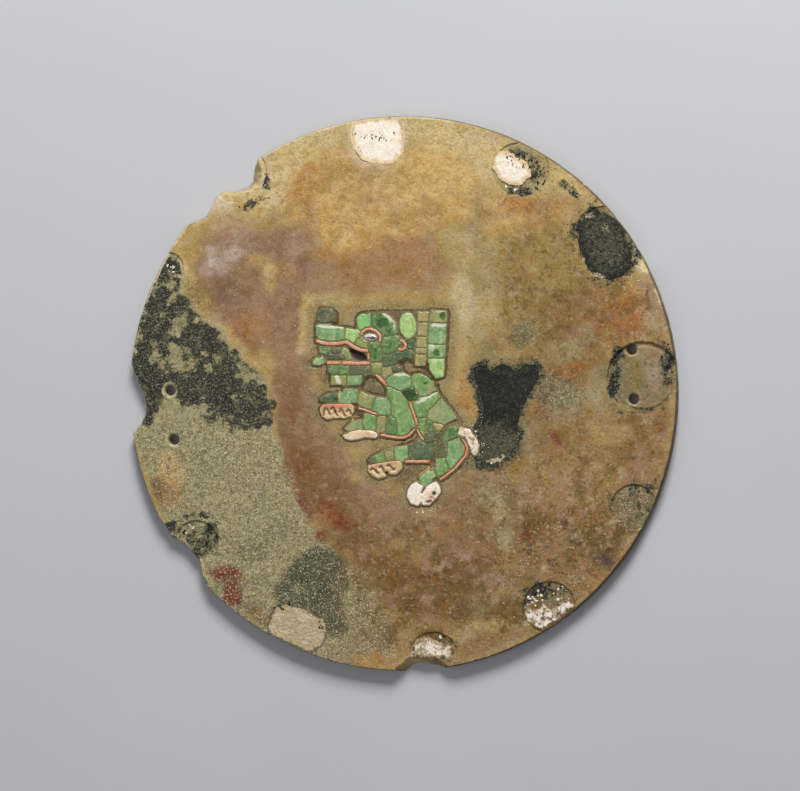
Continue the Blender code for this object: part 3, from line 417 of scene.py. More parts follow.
# Spots: tone, centre x and y, half widths, turn in degrees, strength.
STAINS = [
    ("honey", -30, 86, 8, 17, 12, 0.6), ("honey", -65, 57, 4, 7, 10, 0.75), ("honey", -72, 66, 5, 4, 0, 0.65),
    ("orange", -49, 105, 12, 4, 40, 0.6), ("cream", -70, 103, 8, 13, 10, 0.95),
    ("cream", -77, 113, 5, 6, 0, 0.9), ("cream", -44, 125, 24, 5, 14, 0.6),
    ("haze", -91, 64, 5.5, 3.4, -30, 0.65), ("haze", -84, 69, 5, 3, 0, 0.5), ("haze", -94, 70, 3, 3, 0, 0.5),
    ("lilac", -53, 73, 7, 7, 0, 0.45), ("apricot", -47, 92, 4.5, 11, 12, 0.75),
    ("orange", -36, 67, 12, 3.4, -10, 0.4), ("honey", -46, 101, 5, 5, 0, 0.5),
    ("straw", -48, 31, 3.4, 12, 0, 0.8), ("straw", -38, 45.5, 10, 3, 0, 0.7),
    ("straw", -66, 58, 4.4, 8, 10, 0.5), ("orange", -72, 34, 8, 8, -30, 0.35),
    # The first umber spot in the next row is painted shade on the ground between the hind legs.
    ("umber", 3, -38, 9, 5, 20, 0.75), ("umber", 28, -38, 6, 6, 0, 0.6), ("slate", 31, -33, 4, 4, 0, 0.5),
    ("umber", -38, 11, 3, 7, 0, 0.7), ("straw", -74, 90, 9, 7, 0, 0.6), ("straw", -44, 122, 14, 5, 15, 0.6),
    ("gold", -60, 108, 4, 8, 0, 0.5), ("lilac", -82, 72, 9, 6, 0, 0.6), ("amber", 14, 105, 24, 11, 0, 0.7),
    ("straw", 42, 98, 9, 8, 0, 0.7), ("honey", 54, 81, 14, 5, 0, 0.5), ("honey", 2, 80, 8, 6, 0, 0.5),
    ("cream", 30, 44, 6, 14, 0, 0.5), ("straw", 30, 68, 5, 7, 0, 0.5), ("straw", 42, 40, 7, 6, 0, 0.4),
    ("honey", 60, 60, 6, 6, 0, 0.3), ("umber", 50, 25, 10, 5, 0, 0.45), ("grey_green", 42, 20, 6, 5, 0, 0.5),
    ("olive", 60, 21, 6, 6, 0, 0.5), ("umber", 97, 50, 8, 4, 0, 0.5), ("rose", 119, 42, 4, 7, 0, 0.6),
    ("umber", 84, 30, 8, 6, 0, 0.4), ("straw", 104, -20, 10, 5, 0, 0.35), ("olive", -100, 46, 8, 7, -40, 0.6),
    ("red_brown", -50, -34, 5, 9, 20, 0.45), ("umber", -28, -71, 8, 5, 0, 0.7),
    ("dark_red", -31, -61, 5, 3.4, 10, 0.75), ("umber", -31, -41, 8, 7, -30, 0.3),
    ("cream", 51, -69, 5, 3, 10, 0.5), ("umber", 40, -80, 7, 4, 0, 0.5), ("umber", 80, -80, 6, 4, 0, 0.5),
    ("umber", 50, -100, 8, 4, 0, 0.5), ("straw", 46, -112, 11, 4, 10, 0.5),
    # The umber spot near (2, -39) in the next row is painted shade on the ground between the hind legs.
    ("grey_green", 60, -104, 4, 9, 0, 0.7), ("umber", 2, -39, 6, 3, 20, 0.6),
    ("slate", -70, -91, 6, 4, 0, 0.3), ("honey", 18, 110, 14, 9, 0, 0.5), ("apricot", 12, 84, 8, 7, 0, 0.5),
    ("straw", -56, 112, 4, 12, -10, 0.5), ("red_brown", -54, -9, 4, 6, 10, 0.45),
    ("dark_red", -57, -38, 2, 4, 20, 0.5), ("dark_red", -48, -55, 2.6, 6, 30, 0.6),
    ("red_brown", -36, -57, 6, 4, -40, 0.8), ("red_brown", -30, -62, 6, 4, -20, 0.7),
    ("dark_red", -39, -69, 3.0, 3.8, 0, 0.6), ("olive", -34, -70, 5, 4, 0, 0.5),
    ("honey", -115, -38, 6, 9, 8, 0.6), ("olive", -109, -52, 3, 7, 0, 0.4),
    ("rust", -115, -50, 4.4, 6, 0, 0.6), ("umber", -121, -47, 3.4, 8, 14, 0.7),
    ("dark_red", -87, -88, 8, 4.4, 0, 0.95), ("dark_red", -84, -97, 5, 7, 20, 0.95),
    ("rust", -71, -109, 4, 4, 0, 0.6), ("rust", -60, -113, 4, 3, 0, 0.3), ("slate", -76, -104, 6, 4, -30, 0.5),
    ("slate", -74, -76, 8, 6, 20, 0.4), ("slate", -62, -66, 9, 7, 0, 0.25),
    ("grey_green", -96, -34, 14, 8, 0, 0.25), ("slate", -66, -110, 5, 4, 0, 0.4),
    ("khaki", -51, -96, 3.4, 3, 0, 0.5), ("red_brown", 82, 10, 7, 3.5, 0, 0.5),
    ("dark_red", 76, -22, 2.6, 4, 30, 0.6), ("umber", 61, -68, 5.0, 4.6, 0, 0.7),
    ("umber", 62, -64, 7, 6, 0, 0.5), ("plum", 100, -80, 5, 4.4, -20, 0.9), ("plum", 110, -62, 3, 5, 20, 0.4),
    ("dark_red", 84, -58, 2.4, 2, 0, 0.5), ("umber", 78, 44, 12, 7, 30, 0.4),
    ("umber", 84, 12, 14, 9, 0, 0.45), ("orange", 58, 92, 10, 4, -10, 0.5), ("rust", 96, 36, 8, 5, 20, 0.45),
    ("rust", -80, 31, 9, 5, -40, 0.4), ("umber", -76, 24, 8, 6, -40, 0.35),
    ("dark_red", 128, -18, 2.2, 4, 0, 0.4), ("dark_red", 120.5, 47, 0.9, 5, 0, 0.7),
    ("plum", 97, -80, 6, 2.6, -20, 0.65), ("plum", 85, -72, 3.4, 2.2, -30, 0.6),
    ("plum", 71, -74, 3, 2.4, 0, 0.4), ("umber", 64, -60, 9, 5, 10, 0.5), ("umber", 58, 58, 8, 6, 0, 0.3),
    ("umber", 90, 82, 8, 5, 0, 0.3), ("rose", 55, 49, 2.4, 1.8, 0, 0.6), ("white", -12, 122, 13, 11.6, 0, 0.6),
    ("cream", -90, 94, 6, 5, 0, 0.6), ("cream", -68, 106, 4, 6, 0, 0.5), ("cream", 50, 112, 12, 10, 0, 0.5),
    ("taupe", -12, 5, 10, 6, 0, 0.9), ("mauve", 8, 14, 12, 6, -20, 0.7), ("cream", 119, 66, 4, 10, 25, 0.7),
    ("amber", 22, 121, 10, 6, 0, 0.6), ("amber", 42, 118, 9, 5, -20, 0.5), ("umber", 20, -96, 20, 12, 0, 0.5),
    ("umber", 50, -72, 10, 6, 0, 0.35), ("sand", 44, -50, 9, 6, -20, 0.6), ("sand", 54, -62, 4, 9, 20, 0.5),
    ("umber", 64, -66, 11, 7, 20, 0.6), ("umber", 43, -80, 6, 8, 0, 0.6), ("umber", -10, -80, 14, 6, 0, 0.4),
    ("umber", 12, -92, 16, 10, 0, 0.4), ("sand", 42, -103, 9, 5, 10, 0.6), ("sand", 38, -42, 6, 3, 0, 0.5),
    ("rose", 2, -62, 15, 7, 0, 0.35), ("rose", 118, -38, 9, 7, 0, 0.4), ("rose", 84, -44, 10, 6, 20, 0.35),
    ("khaki", 80, 21, 8, 5, 0, 0.6), ("khaki", 84, -2, 10, 4, 0, 0.4), ("slate", 60, 28, 5, 5, 0, 0.4),
    ("rust", 83, 11, 8, 4, 10, 0.6), ("rust", 113, 40, 7, 9, 0, 0.6), ("rust", 101, 36, 8, 4, 20, 0.5),
    ("rose", 33, 42, 3, 5, 0, 0.35), ("taupe", 60, -100, 6, 8, 0, 0.5), ("straw", 11, -58, 5, 2.6, 0, 0.7),
    ("plum", -84, 49, 9, 5, -20, 0.3), ("plum", -64, 74, 8, 6, 0, 0.25), ("apricot", -57, 60, 7, 5, 0, 0.35),
    ("plum", -45, 62, 6, 5, 0, 0.2), ("straw", -20, -40, 6, 4, 0, 0.4), ("umber", -101, 51, 5, 6, -30, 0.4),
    ("mauve", -90, 40, 7, 5, -30, 0.6), ("cream", -61, 111, 5, 6, 0, 0.6), ("rose", -80, 81, 10, 5, 0, 0.55),
    ("haze", -90, 91, 6, 5, 0, 0.35), ("cream", -110, 60, 3, 6, -20, 0.6), ("violet", -53, 37, 4, 10, 0, 0.65),
    ("orange", -46, 101, 7, 9, 0, 0.4), ("umber", 92, 43, 8, 7, 0, 0.5), ("khaki", 90, 29, 5, 5, 0, 0.4),
    ("rose", 121, 40, 4, 8, 0, 0.5), ("khaki", 99, 1, 6, 10, 0, 0.6), ("grey_green", 100, 11, 4, 6, 0, 0.5),
    ("grey_green", 79, 0, 7, 6, 0, 0.6), ("slate", 70, 1, 5, 6, 0, 0.45), ("umber", 70, -10, 6, 5, 0, 0.5),
    ("taupe", 80, -10, 8, 4, 0, 0.6), ("umber", 80, 10, 7, 4, 0, 0.3), ("slate", 110, 6, 4, 12, 0, 0.45),
    ("plum", 120, 4, 8, 9, 0, 0.3), ("khaki", 60, -20, 4, 5, 0, 0.5), ("rose", 61, -50, 6, 6, 0, 0.6),
    ("umber", 90, -60, 6, 6, 0, 0.6), ("apricot", 100, -60, 5, 5, 0, 0.5), ("straw", 90, -70, 5, 4, 0, 0.65),
    ("rose", 100, -70, 5, 4, 0, 0.55), ("umber", 115, -54, 9, 9, 0, 0.4), ("slate", 60, -100, 5, 8, 0, 0.3),
    ("rose", 40, -40, 7, 4, 0, 0.45), ("straw", 20, -120, 7, 4, 0, 0.6), ("cream", 47, -56, 4, 6, 20, 0.45),
    ("sand", 49, -70, 6, 4, 0, 0.6), ("cream", 52, -73, 3, 2.4, 0, 0.4), ("umber", 24, -82, 15, 9, 0, 0.35),
    ("cream", -60, 103, 6, 6, 0, 0.5), ("gold", 22, 101, 13, 8, 0, 0.4), ("olive", 42, 60, 10, 10, 0, 0.4),
    ("olive", 82, 20, 8, 6, 0, 0.35), ("rose", 22, -42, 8, 5, 0, 0.4), ("apricot", -40, -62, 5, 4, 0, 0.4),
    ("umber", -20, -80, 6, 6, 0, 0.4), ("khaki", -20, -100, 7, 6, 0, 0.5), ("rose", 41, -99, 7, 5, 0, 0.4),
    ("haze", 120, 20, 5, 5, 0, 0.2), ("grey_green", 80, 0, 6, 5, 0, 0.4), ("cream", 28, 122, 24, 7, -12, 0.45),
    ("cream", -64, 100, 4, 12, 10, 0.4),
]


def bent(x, y, wide, fine):
    """The places moved by noise of two sizes, by which a stain's edge wanders."""
    return np.column_stack((x, y)) + wide * sway(x, y, 24.0, 11) + fine * sway(x, y, 5.0, 13)


def within(places, corners, soft):
    """How far inside a rounded outline each place lies, eased from 0 to 1 over twice `soft` about its edge."""
    outline = softened(np.array(corners, float), 10.0, 3.0)
    outline = outline if area_inside(outline) > 0.0 else outline[::-1]
    return eased(inside(places, [outline], 2.0 * soft + 1.0), -soft, soft)


def ellipse(places, cx, cy, wide, high, turn, edge=0.5):
    """1 inside a turned ellipse, eased down to 0 about its edge."""
    along, across = rotated(places[:, 0] - cx, places[:, 1] - cy, -math.radians(turn))
    return faded(np.hypot(along / wide, across / high), 1.0 - edge, 1.0 + edge)


def laid(x, y, base):
    """The stone's broad colours, each stain laid over those before it, and how much of each family of tones
    lies on top at each place."""
    colour = np.tile(np.array(STONE_TONES[base], float), (len(x), 1))
    families = {name: np.zeros(len(x)) for name in FAMILIES}
    wide, fine = bent(x, y, 5.0, 3.0), bent(x, y, 1.5, 2.0)
    coats = [(key, strength * within(wide, corners, 0.7 * soft)) for key, strength, soft, *corners in FIELDS]
    coats += [(key, strength * ellipse(fine, *place)) for key, *place, strength in STAINS]
    for key, share in coats:
        colour = blended(colour, STONE_TONES[key], share)
        for name, tones in FAMILIES.items():
            families[name] = families[name] * (1.0 - share) + (share if key in tones else 0.0)
    return colour, families


def blended(colour, other, share):
    """The other colour laid over the first where the share says."""
    return colour * (1.0 - share[:, None]) + np.array(other) * share[:, None]


# Tones that break up in the same kind of mottle.
FAMILIES = {
    "violets": ("violet", "mauve", "lilac", "plum", "brown"),
    "oranges": ("orange", "rust", "red_brown", "apricot", "dark_red"),
    "straws": ("gold", "amber", "straw", "honey", "cream"),
    "umbers": ("umber", "olive"),
    "khakis": ("khaki", "sand", "grey_green", "taupe"),
}


def mask(x, y, spots, warp=1.0, edge=0.5):
    """The strongest of the soft ellipses x, y, half widths, turn, strength. A small warp is a fine one."""
    places = bent(x, y, 0.0, warp) if warp > 1.2 else np.column_stack((x, y)) + warp * sway(x, y, 2.5, 21)
    found = np.zeros(len(x))
    for *place, strength in spots:
        found = np.maximum(found, strength * ellipse(places, *place, edge))
    return found


# Black-green crust over pale stone: strength, softness, corners.
CRUST_FIELDS = [
    (1.06, 3.0, (-122, 66), (-114, 71), (-109, 62), (-110, 50), (-104, 43), (-91, 31), (-84, 20), (-74, 15),
     (-65, 0), (-65, -10), (-78, -13), (-98, -9), (-104, 2), (-118, -4), (-122, -12), (-126, -20), (-136, -14),
     (-136, 40)),
    (1.3, 5.0, (-106, 40), (-94, 31), (-84, 16), (-66, 4), (-62, -9), (-72, -15), (-92, -12), (-100, -2),
     (-106, 16)),
    (1.36, 4.0, (-112, 10), (-102, 33), (-88, 26), (-80, 14), (-94, -6), (-112, -6)),
    (0.85, 3.0, (-108, 0), (-84, -8), (-62, -6), (-64, -18), (-84, -20), (-104, -12)),
    (1.15, 4.0, (-122, 60), (-114, 64), (-110, 40), (-116, 24), (-132, 24), (-130, 46)),
    (1.2, 3.0, (-134, 2), (-124, 0), (-122, -14), (-130, -20)),
]
CRUST = [
    (100.2, 72.4, 16.5, 22.0, 18, 1.15), (-115, 61, 5, 8, -20, 1.0), (-129, -10, 5, 9, 10, 1.0),
    (-122, 6, 9, 12, 0, 1.3), (-110, 6, 5, 8, 0, 1.3), (-66.4, 102, 2.2, 6, 6, 0.74),
    (-69.6, 95.6, 3.6, 2.8, 45, 0.77), (-76, 91.6, 6, 2.8, 20, 0.74), (58, 115, 8, 4, -25, 0.95),
    (64, 107, 3, 7, 0, 0.9), (60, 98, 10, 3, 5, 0.75), (70, 104, 3, 6, 0, 0.7), (72, 112, 3, 4, 0, 0.6),
    (88, 94, 9, 2.4, -46, 0.82), (82, 100, 5, 3, -36, 0.72), (96, 86, 3, 4, 40, 0.86), (86, 80, 3, 8, 0, 0.7),
    (110, 92, 3, 3, 0, 0.3), (104.5, 8, 3.4, 15, 0, 1.0), (130, 14, 4, 12, 0, 0.95),
    (118, -8, 12, 2.4, 0, 0.9), (108, 20, 4, 4, 0, 0.7), (128, -4, 6, 3, 40, 0.8), (108, 55, 7, 2.5, 10, 0.7),
    (92, 62, 3, 6, 20, 0.5), (-114, -65, 4, 3.4, -30, 1.0), (-105, -63, 6, 2.4, 0, 0.8),
    (-94, -66, 3, 4, 20, 0.8), (-93, -76, 3, 4, 0, 0.7), (-100, -72, 9, 8, 0, 0.72),
    (118, -45, 9, 2.4, 0, 0.9), (103, -53, 2, 8, 0, 0.8), (115, -66, 7, 2, 20, 0.7),
    (115, -55, 10, 10, 0, 0.66), (73, -96, 12, 7, 0, 0.85), (126, -42, 4, 3, -40, 0.8),
    (-91, -70, 2, 9, 0, 0.85), (-101, -60, 9, 2, 0, 0.85), (-104, -80, 6, 3, 20, 0.8),
    (-64, -104, 3, 5, -30, 0.6), (-40, -112, 2.4, 6, 0, 0.7), (-54, -103, 8, 1.6, 0, 0.5),
    (72, -92, 10, 2.4, 0, 0.8), (61, -100, 2.6, 8, 0, 0.7), (82, -96, 2.4, 5, 30, 0.6),
    (28, 132, 6, 1.4, 0, 0.6), (24, -122, 3, 5, 0, 0.6), (8, -117, 12, 1.4, 5, 0.6), (50, -10, 14, 5, 0, 0.4),
]
# Fine sandy grain: strength, softness, corners.
GRIT_FIELDS = [
    (1.0, 4.0, (-137, -16), (-100, -12), (-64, -16), (-58, -34), (-50, -54), (-40, -68), (-24, -84),
     (-8, -108), (0, -128), (-40, -136), (-100, -104)),
    (0.6, 4.0, (-136, 40), (-110, 66), (-88, 30), (-66, 0), (-66, -16), (-136, -20)),
    (0.45, 6.0, (-68, 112), (-20, 120), (30, 116), (80, 92), (104, 90), (60, 128), (0, 137), (-50, 128)),
    (0.6, 4.0, (68, 10), (92, 8), (90, -10), (68, -8)),
    (0.6, 3.0, (54, 36), (68, 36), (70, 22), (58, 22)),
    (0.8, 2.0, (102, -46), (114, -42), (126, -46), (122, -66), (108, -68)),
]
# Small dark red and small blue-grey spots.
RUSTY = [
    (61, -68, 2.8, 2.4, 0, 1.0), (84, -58, 2.0, 1.8, 0, 0.7), (-31, -61, 5, 3.0, 10, 0.9),
    (-24, -65, 3.2, 1.6, 0, 0.9), (-40, -69, 2.6, 3.0, 0, 0.9), (-50, -51, 2.4, 9, 26, 0.85),
    (-57, -38, 2.2, 5, 14, 0.7), (-37, -57, 8, 4, -38, 0.75), (76, -22, 1.8, 3.4, 30, 0.9),
    (-87, -88, 8, 4.0, 0, 1.0), (-84, -98, 4.4, 7, 20, 1.0), (-10, -63, 2.4, 1.6, 0, 0.7),
    (120, 46, 1.0, 5, 0, 0.9), (128, -18, 1.6, 4, 0, 0.6), (-86, 84, 1.2, 1.0, 0, 0.6),
    (-60, -30, 4, 8, 16, 0.5), (-53, -46, 4.4, 9, 26, 0.62), (-44, -58, 9, 6, -40, 0.55),
    (98, -46, 2.0, 2.0, 0, 0.5), (-14, -78, 3, 1.4, 0, 0.5), (126, 30, 1.4, 3, 0, 0.5),
]
BRUISED = [
    (100, -80, 4.6, 3.4, -20, 1.0), (85, -72, 3.0, 1.8, -30, 0.9), (71, -74, 2.4, 1.8, 0, 0.6),
    (110, -62, 2.0, 4, 20, 0.6), (93, -68, 2.0, 2.4, 0, 0.6), (78, -66, 1.6, 1.2, 0, 0.5),
    (106, -74, 2.0, 3.0, 30, 0.6),
]
# Dark specks.
SOOT = [
    (-44, -90, 16, 20, -10, 1.0), (-16, -114, 12, 8, 0, 0.5), (48, -6, 18, 24, 10, 0.9),
    (46, -32, 18, 8, 0, 0.9), (98, 74, 18, 22, 20, 0.8), (-72, 98, 12, 12, 36, 0.5), (74, 0, 18, 12, 0, 0.7),
    (62, 30, 8, 10, 0, 0.6), (64, 104, 14, 12, 0, 0.6), (118, 6, 20, 18, 0, 0.4), (46, 28, 14, 16, 0, 0.6),
    (-100, -70, 12, 12, 0, 0.5), (84, -60, 26, 24, 0, 0.5), (30, -96, 26, 14, 0, 0.4),
]
# Where ochre, olive, orange and mauve mix in small blotches.
MIXED_FIELDS = [
    (0.8, 10.0, (30, 100), (90, 96), (134, 40), (134, -30), (110, -50), (70, -30), (70, 20), (40, 50)),
    (1.4, 6.0, (92, 60), (120, 60), (134, 34), (134, -6), (100, 8), (90, 30)),
    (1.2, 8.0, (62, 4), (100, 4), (134, -10), (134, -40), (60, -36)),
    (2.5, 7.0, (54, -60), (84, -52), (116, -58), (106, -86), (76, -112), (56, -118), (40, -96)),
    (1.7, 7.0, (66, -24), (134, -20), (112, -80), (70, -120), (20, -134), (-24, -124), (-34, -78), (-20, -58),
     (0, -60), (30, -44)),
    (0.55, 8.0, (-60, 100), (-30, 120), (30, 110), (30, 60), (-40, 56), (-90, 44), (-100, 70)),
]


def field_mask(x, y, fields):
    """The strongest of the rounded outlines strength, softness, corners."""
    places = bent(x, y, 3.0, 2.0)
    found = np.zeros(len(x))
    for strength, soft, *corners in fields:
        found = np.maximum(found, strength * within(places, corners, soft))
    return found


# ---------------------------------------------------------------- shader groups


def put(tree, kind, feeds=None, **settings):
    """A shader node of that kind, with its settings, its inputs linked to sockets or set to values."""
    made = tree.nodes.new("ShaderNode" + kind)
    for key, value in settings.items():
        setattr(made, key, value)
    for key, value in (feeds or {}).items():
        socket = made.inputs[key]
        if isinstance(value, bpy.types.NodeSocket):
            tree.links.new(value, socket)
        else:
            socket.default_value = (*value, 1.0) if socket.type == "RGBA" else value
    return made


def maths(tree, operation, *values):
    """The outcome of a sum on values or sockets."""
    return put(tree, "Math", dict(enumerate(values)), operation=operation).outputs[0]


def noise(tree, where, size, detail, roughness):
    """Noise whose blotches are about `size` mm wide."""
    feeds = {"Vector": where, "Scale": maths(tree, "DIVIDE", 1.0 / MM, size), "Detail": detail,
             "Roughness": roughness}
    return put(tree, "TexNoise", feeds).outputs["Fac"]


def group(name, takes, gives):
    """An empty node group with its sockets; returns its tree, its input node's outputs and its output node's
    inputs. What it takes is a value, a colour, or None for a vector."""
    tree = bpy.data.node_groups.new(name, "ShaderNodeTree")
    for key, value in takes.items():
        kind = {type(None): "Vector", tuple: "Color"}.get(type(value), "Float")
        socket = tree.interface.new_socket(key, in_out="INPUT", socket_type="NodeSocket" + kind)
        if value is not None:
            socket.default_value = value
    for key, kind in gives.items():
        tree.interface.new_socket(key, in_out="OUTPUT", socket_type="NodeSocket" + kind)
    return tree, tree.nodes.new("NodeGroupInput").outputs, tree.nodes.new("NodeGroupOutput").inputs


def mottle_group():
    """Blotches: noise of one size, pushed up by a mask, then cut softly between two levels."""
    defaults = {"Vector": None, "Size": 5.0, "Detail": 4.0, "Push": 0.0, "Low": 0.45, "High": 0.55}
    tree, takes, gives = group("mottle", defaults, {"Mask": "Float"})
    blotches = noise(tree, takes["Vector"], takes["Size"], takes["Detail"], 0.66)
    lifted = maths(tree, "ADD", blotches, takes["Push"])
    cut = put(tree, "MapRange", {"Value": lifted, "From Min": takes["Low"], "From Max": takes["High"]},
              interpolation_type="SMOOTHSTEP")
    tree.links.new(cut.outputs["Result"], gives["Mask"])
    return tree


def variegation_group():
    """A colour made lighter and darker, and more and less strong, by noise of two sizes."""
    defaults = {"Vector": None, "Color": (0.5, 0.5, 0.5, 1.0), "Wide": 10.0, "Fine": 1.5, "Amount": 0.2}
    tree, takes, gives = group("variegation", defaults, {"Color": "Color", "Height": "Float"})
    waves = []
    for key, detail, offset in (("Wide", 5.0, 0.0), ("Fine", 3.0, 0.3)):
        moved = put(tree, "VectorMath", {0: takes["Vector"], 1: (offset, offset, 0.0)}).outputs[0]
        wave = noise(tree, moved, takes[key], detail, 0.62)
        waves.append(put(tree, "MapRange", {"Value": wave, "From Min": 0.3, "From Max": 0.7, "To Min": -1.0,
                                            "To Max": 1.0}).outputs["Result"])
    wide, fine = waves
    varied = put(tree, "HueSaturation", {
        "Hue": maths(tree, "MULTIPLY_ADD", fine, 0.006, 0.5),
        "Saturation": maths(tree, "MULTIPLY_ADD", wide, -0.12, 1.0),
        "Value": maths(tree, "MULTIPLY_ADD", maths(tree, "ADD", wide, fine), takes["Amount"], 1.0),
        "Color": takes["Color"],
    })
    tree.links.new(varied.outputs["Color"], gives["Color"])
    tree.links.new(fine, gives["Height"])
    return tree


MOTTLE = mottle_group()
VARIEGATION = variegation_group()
# The sockets of a mix of colours, which share their names with those of other kinds.
MIX_SHARE, MIX_BELOW, MIX_ABOVE = 0, 6, 7
MIX_RESULT = 2


class Finish:
    """A material under construction: its tree, its Principled shader, and where its surface lies."""

    def __init__(self, name, roughness, **fixed):
        self.material = bpy.data.materials.new(name)
        self.material.use_nodes = True
        self.tree = self.material.node_tree
        self.shader = self.tree.nodes["Principled BSDF"]
        self.shader.inputs["Roughness"].default_value = roughness
        for key, value in fixed.items():
            self.shader.inputs[key.replace("_", " ")].default_value = value
        self.where = self.put("TexCoord").outputs["Object"]

    def put(self, kind, feeds=None, **settings):
        return put(self.tree, kind, feeds, **settings)

    def mask(self, name):
        return self.put("Attribute", attribute_name=name).outputs["Fac"]

    def times(self, first, second):
        return maths(self.tree, "MULTIPLY", first, second)

    def plus(self, first, second):
        return maths(self.tree, "ADD", first, second)

    def mottle(self, size, low, high, detail, push=0.0):
        feeds = {"Vector": self.where, "Size": size, "Detail": detail, "Push": push, "Low": low, "High": high}
        return self.put("Group", feeds, node_tree=MOTTLE).outputs["Mask"]

    def varied(self, colour, wide, fine, amount):
        feeds = {"Vector": self.where, "Color": colour, "Wide": wide, "Fine": fine, "Amount": amount}
        return self.put("Group", feeds, node_tree=VARIEGATION).outputs

    def over(self, below, look, share, strength):
        """The tone of that look laid over a colour where the share says."""
        feeds = {MIX_SHARE: self.times(share, strength), MIX_BELOW: below, MIX_ABOVE: tone(*look)}
        return self.put("Mix", feeds, data_type="RGBA").outputs[MIX_RESULT]

    def coats(self, colour, *rows):
        """Tones laid over the colour, each row a look, its strength and the name of the mask that says where.
        With four numbers after that, blotches of that size, cut between those two levels, with that detail,
        break it up; with a fifth the mask pushes the blotches up that hard instead of bounding them."""
        for look, strength, name, *blotches in rows:
            share = self.mask(name) if name else None
            if len(blotches) == 5:
                *blotches, push = blotches
                share = self.mottle(*blotches, self.times(share, push))
            elif blotches:
                cut = self.mottle(*blotches)
                share = self.times(cut, share) if name else cut
            colour = self.over(colour, look, share, strength)
        return colour

    def done(self, colour, *bump):
        """Links the colour to the shader, and a bump whose height, strength and depth are given."""
        self.tree.links.new(colour, self.shader.inputs["Base Color"])
        if bump:
            normal = self.put("Bump", dict(zip(("Height", "Strength", "Distance"), bump))).outputs["Normal"]
            self.tree.links.new(normal, self.shader.inputs["Normal"])
        return self.material


def coated(name, roughness, look, variety, bump, *rows, **fixed):
    """A finish of one tone, varied by noise of two sizes, under coats."""
    f = Finish(name, roughness, **fixed)
    varied = f.varied(tone(*look), *variety)
    return f.done(f.coats(varied["Color"], *rows), varied["Height"], *bump)


# ---------------------------------------------------------------- finishes


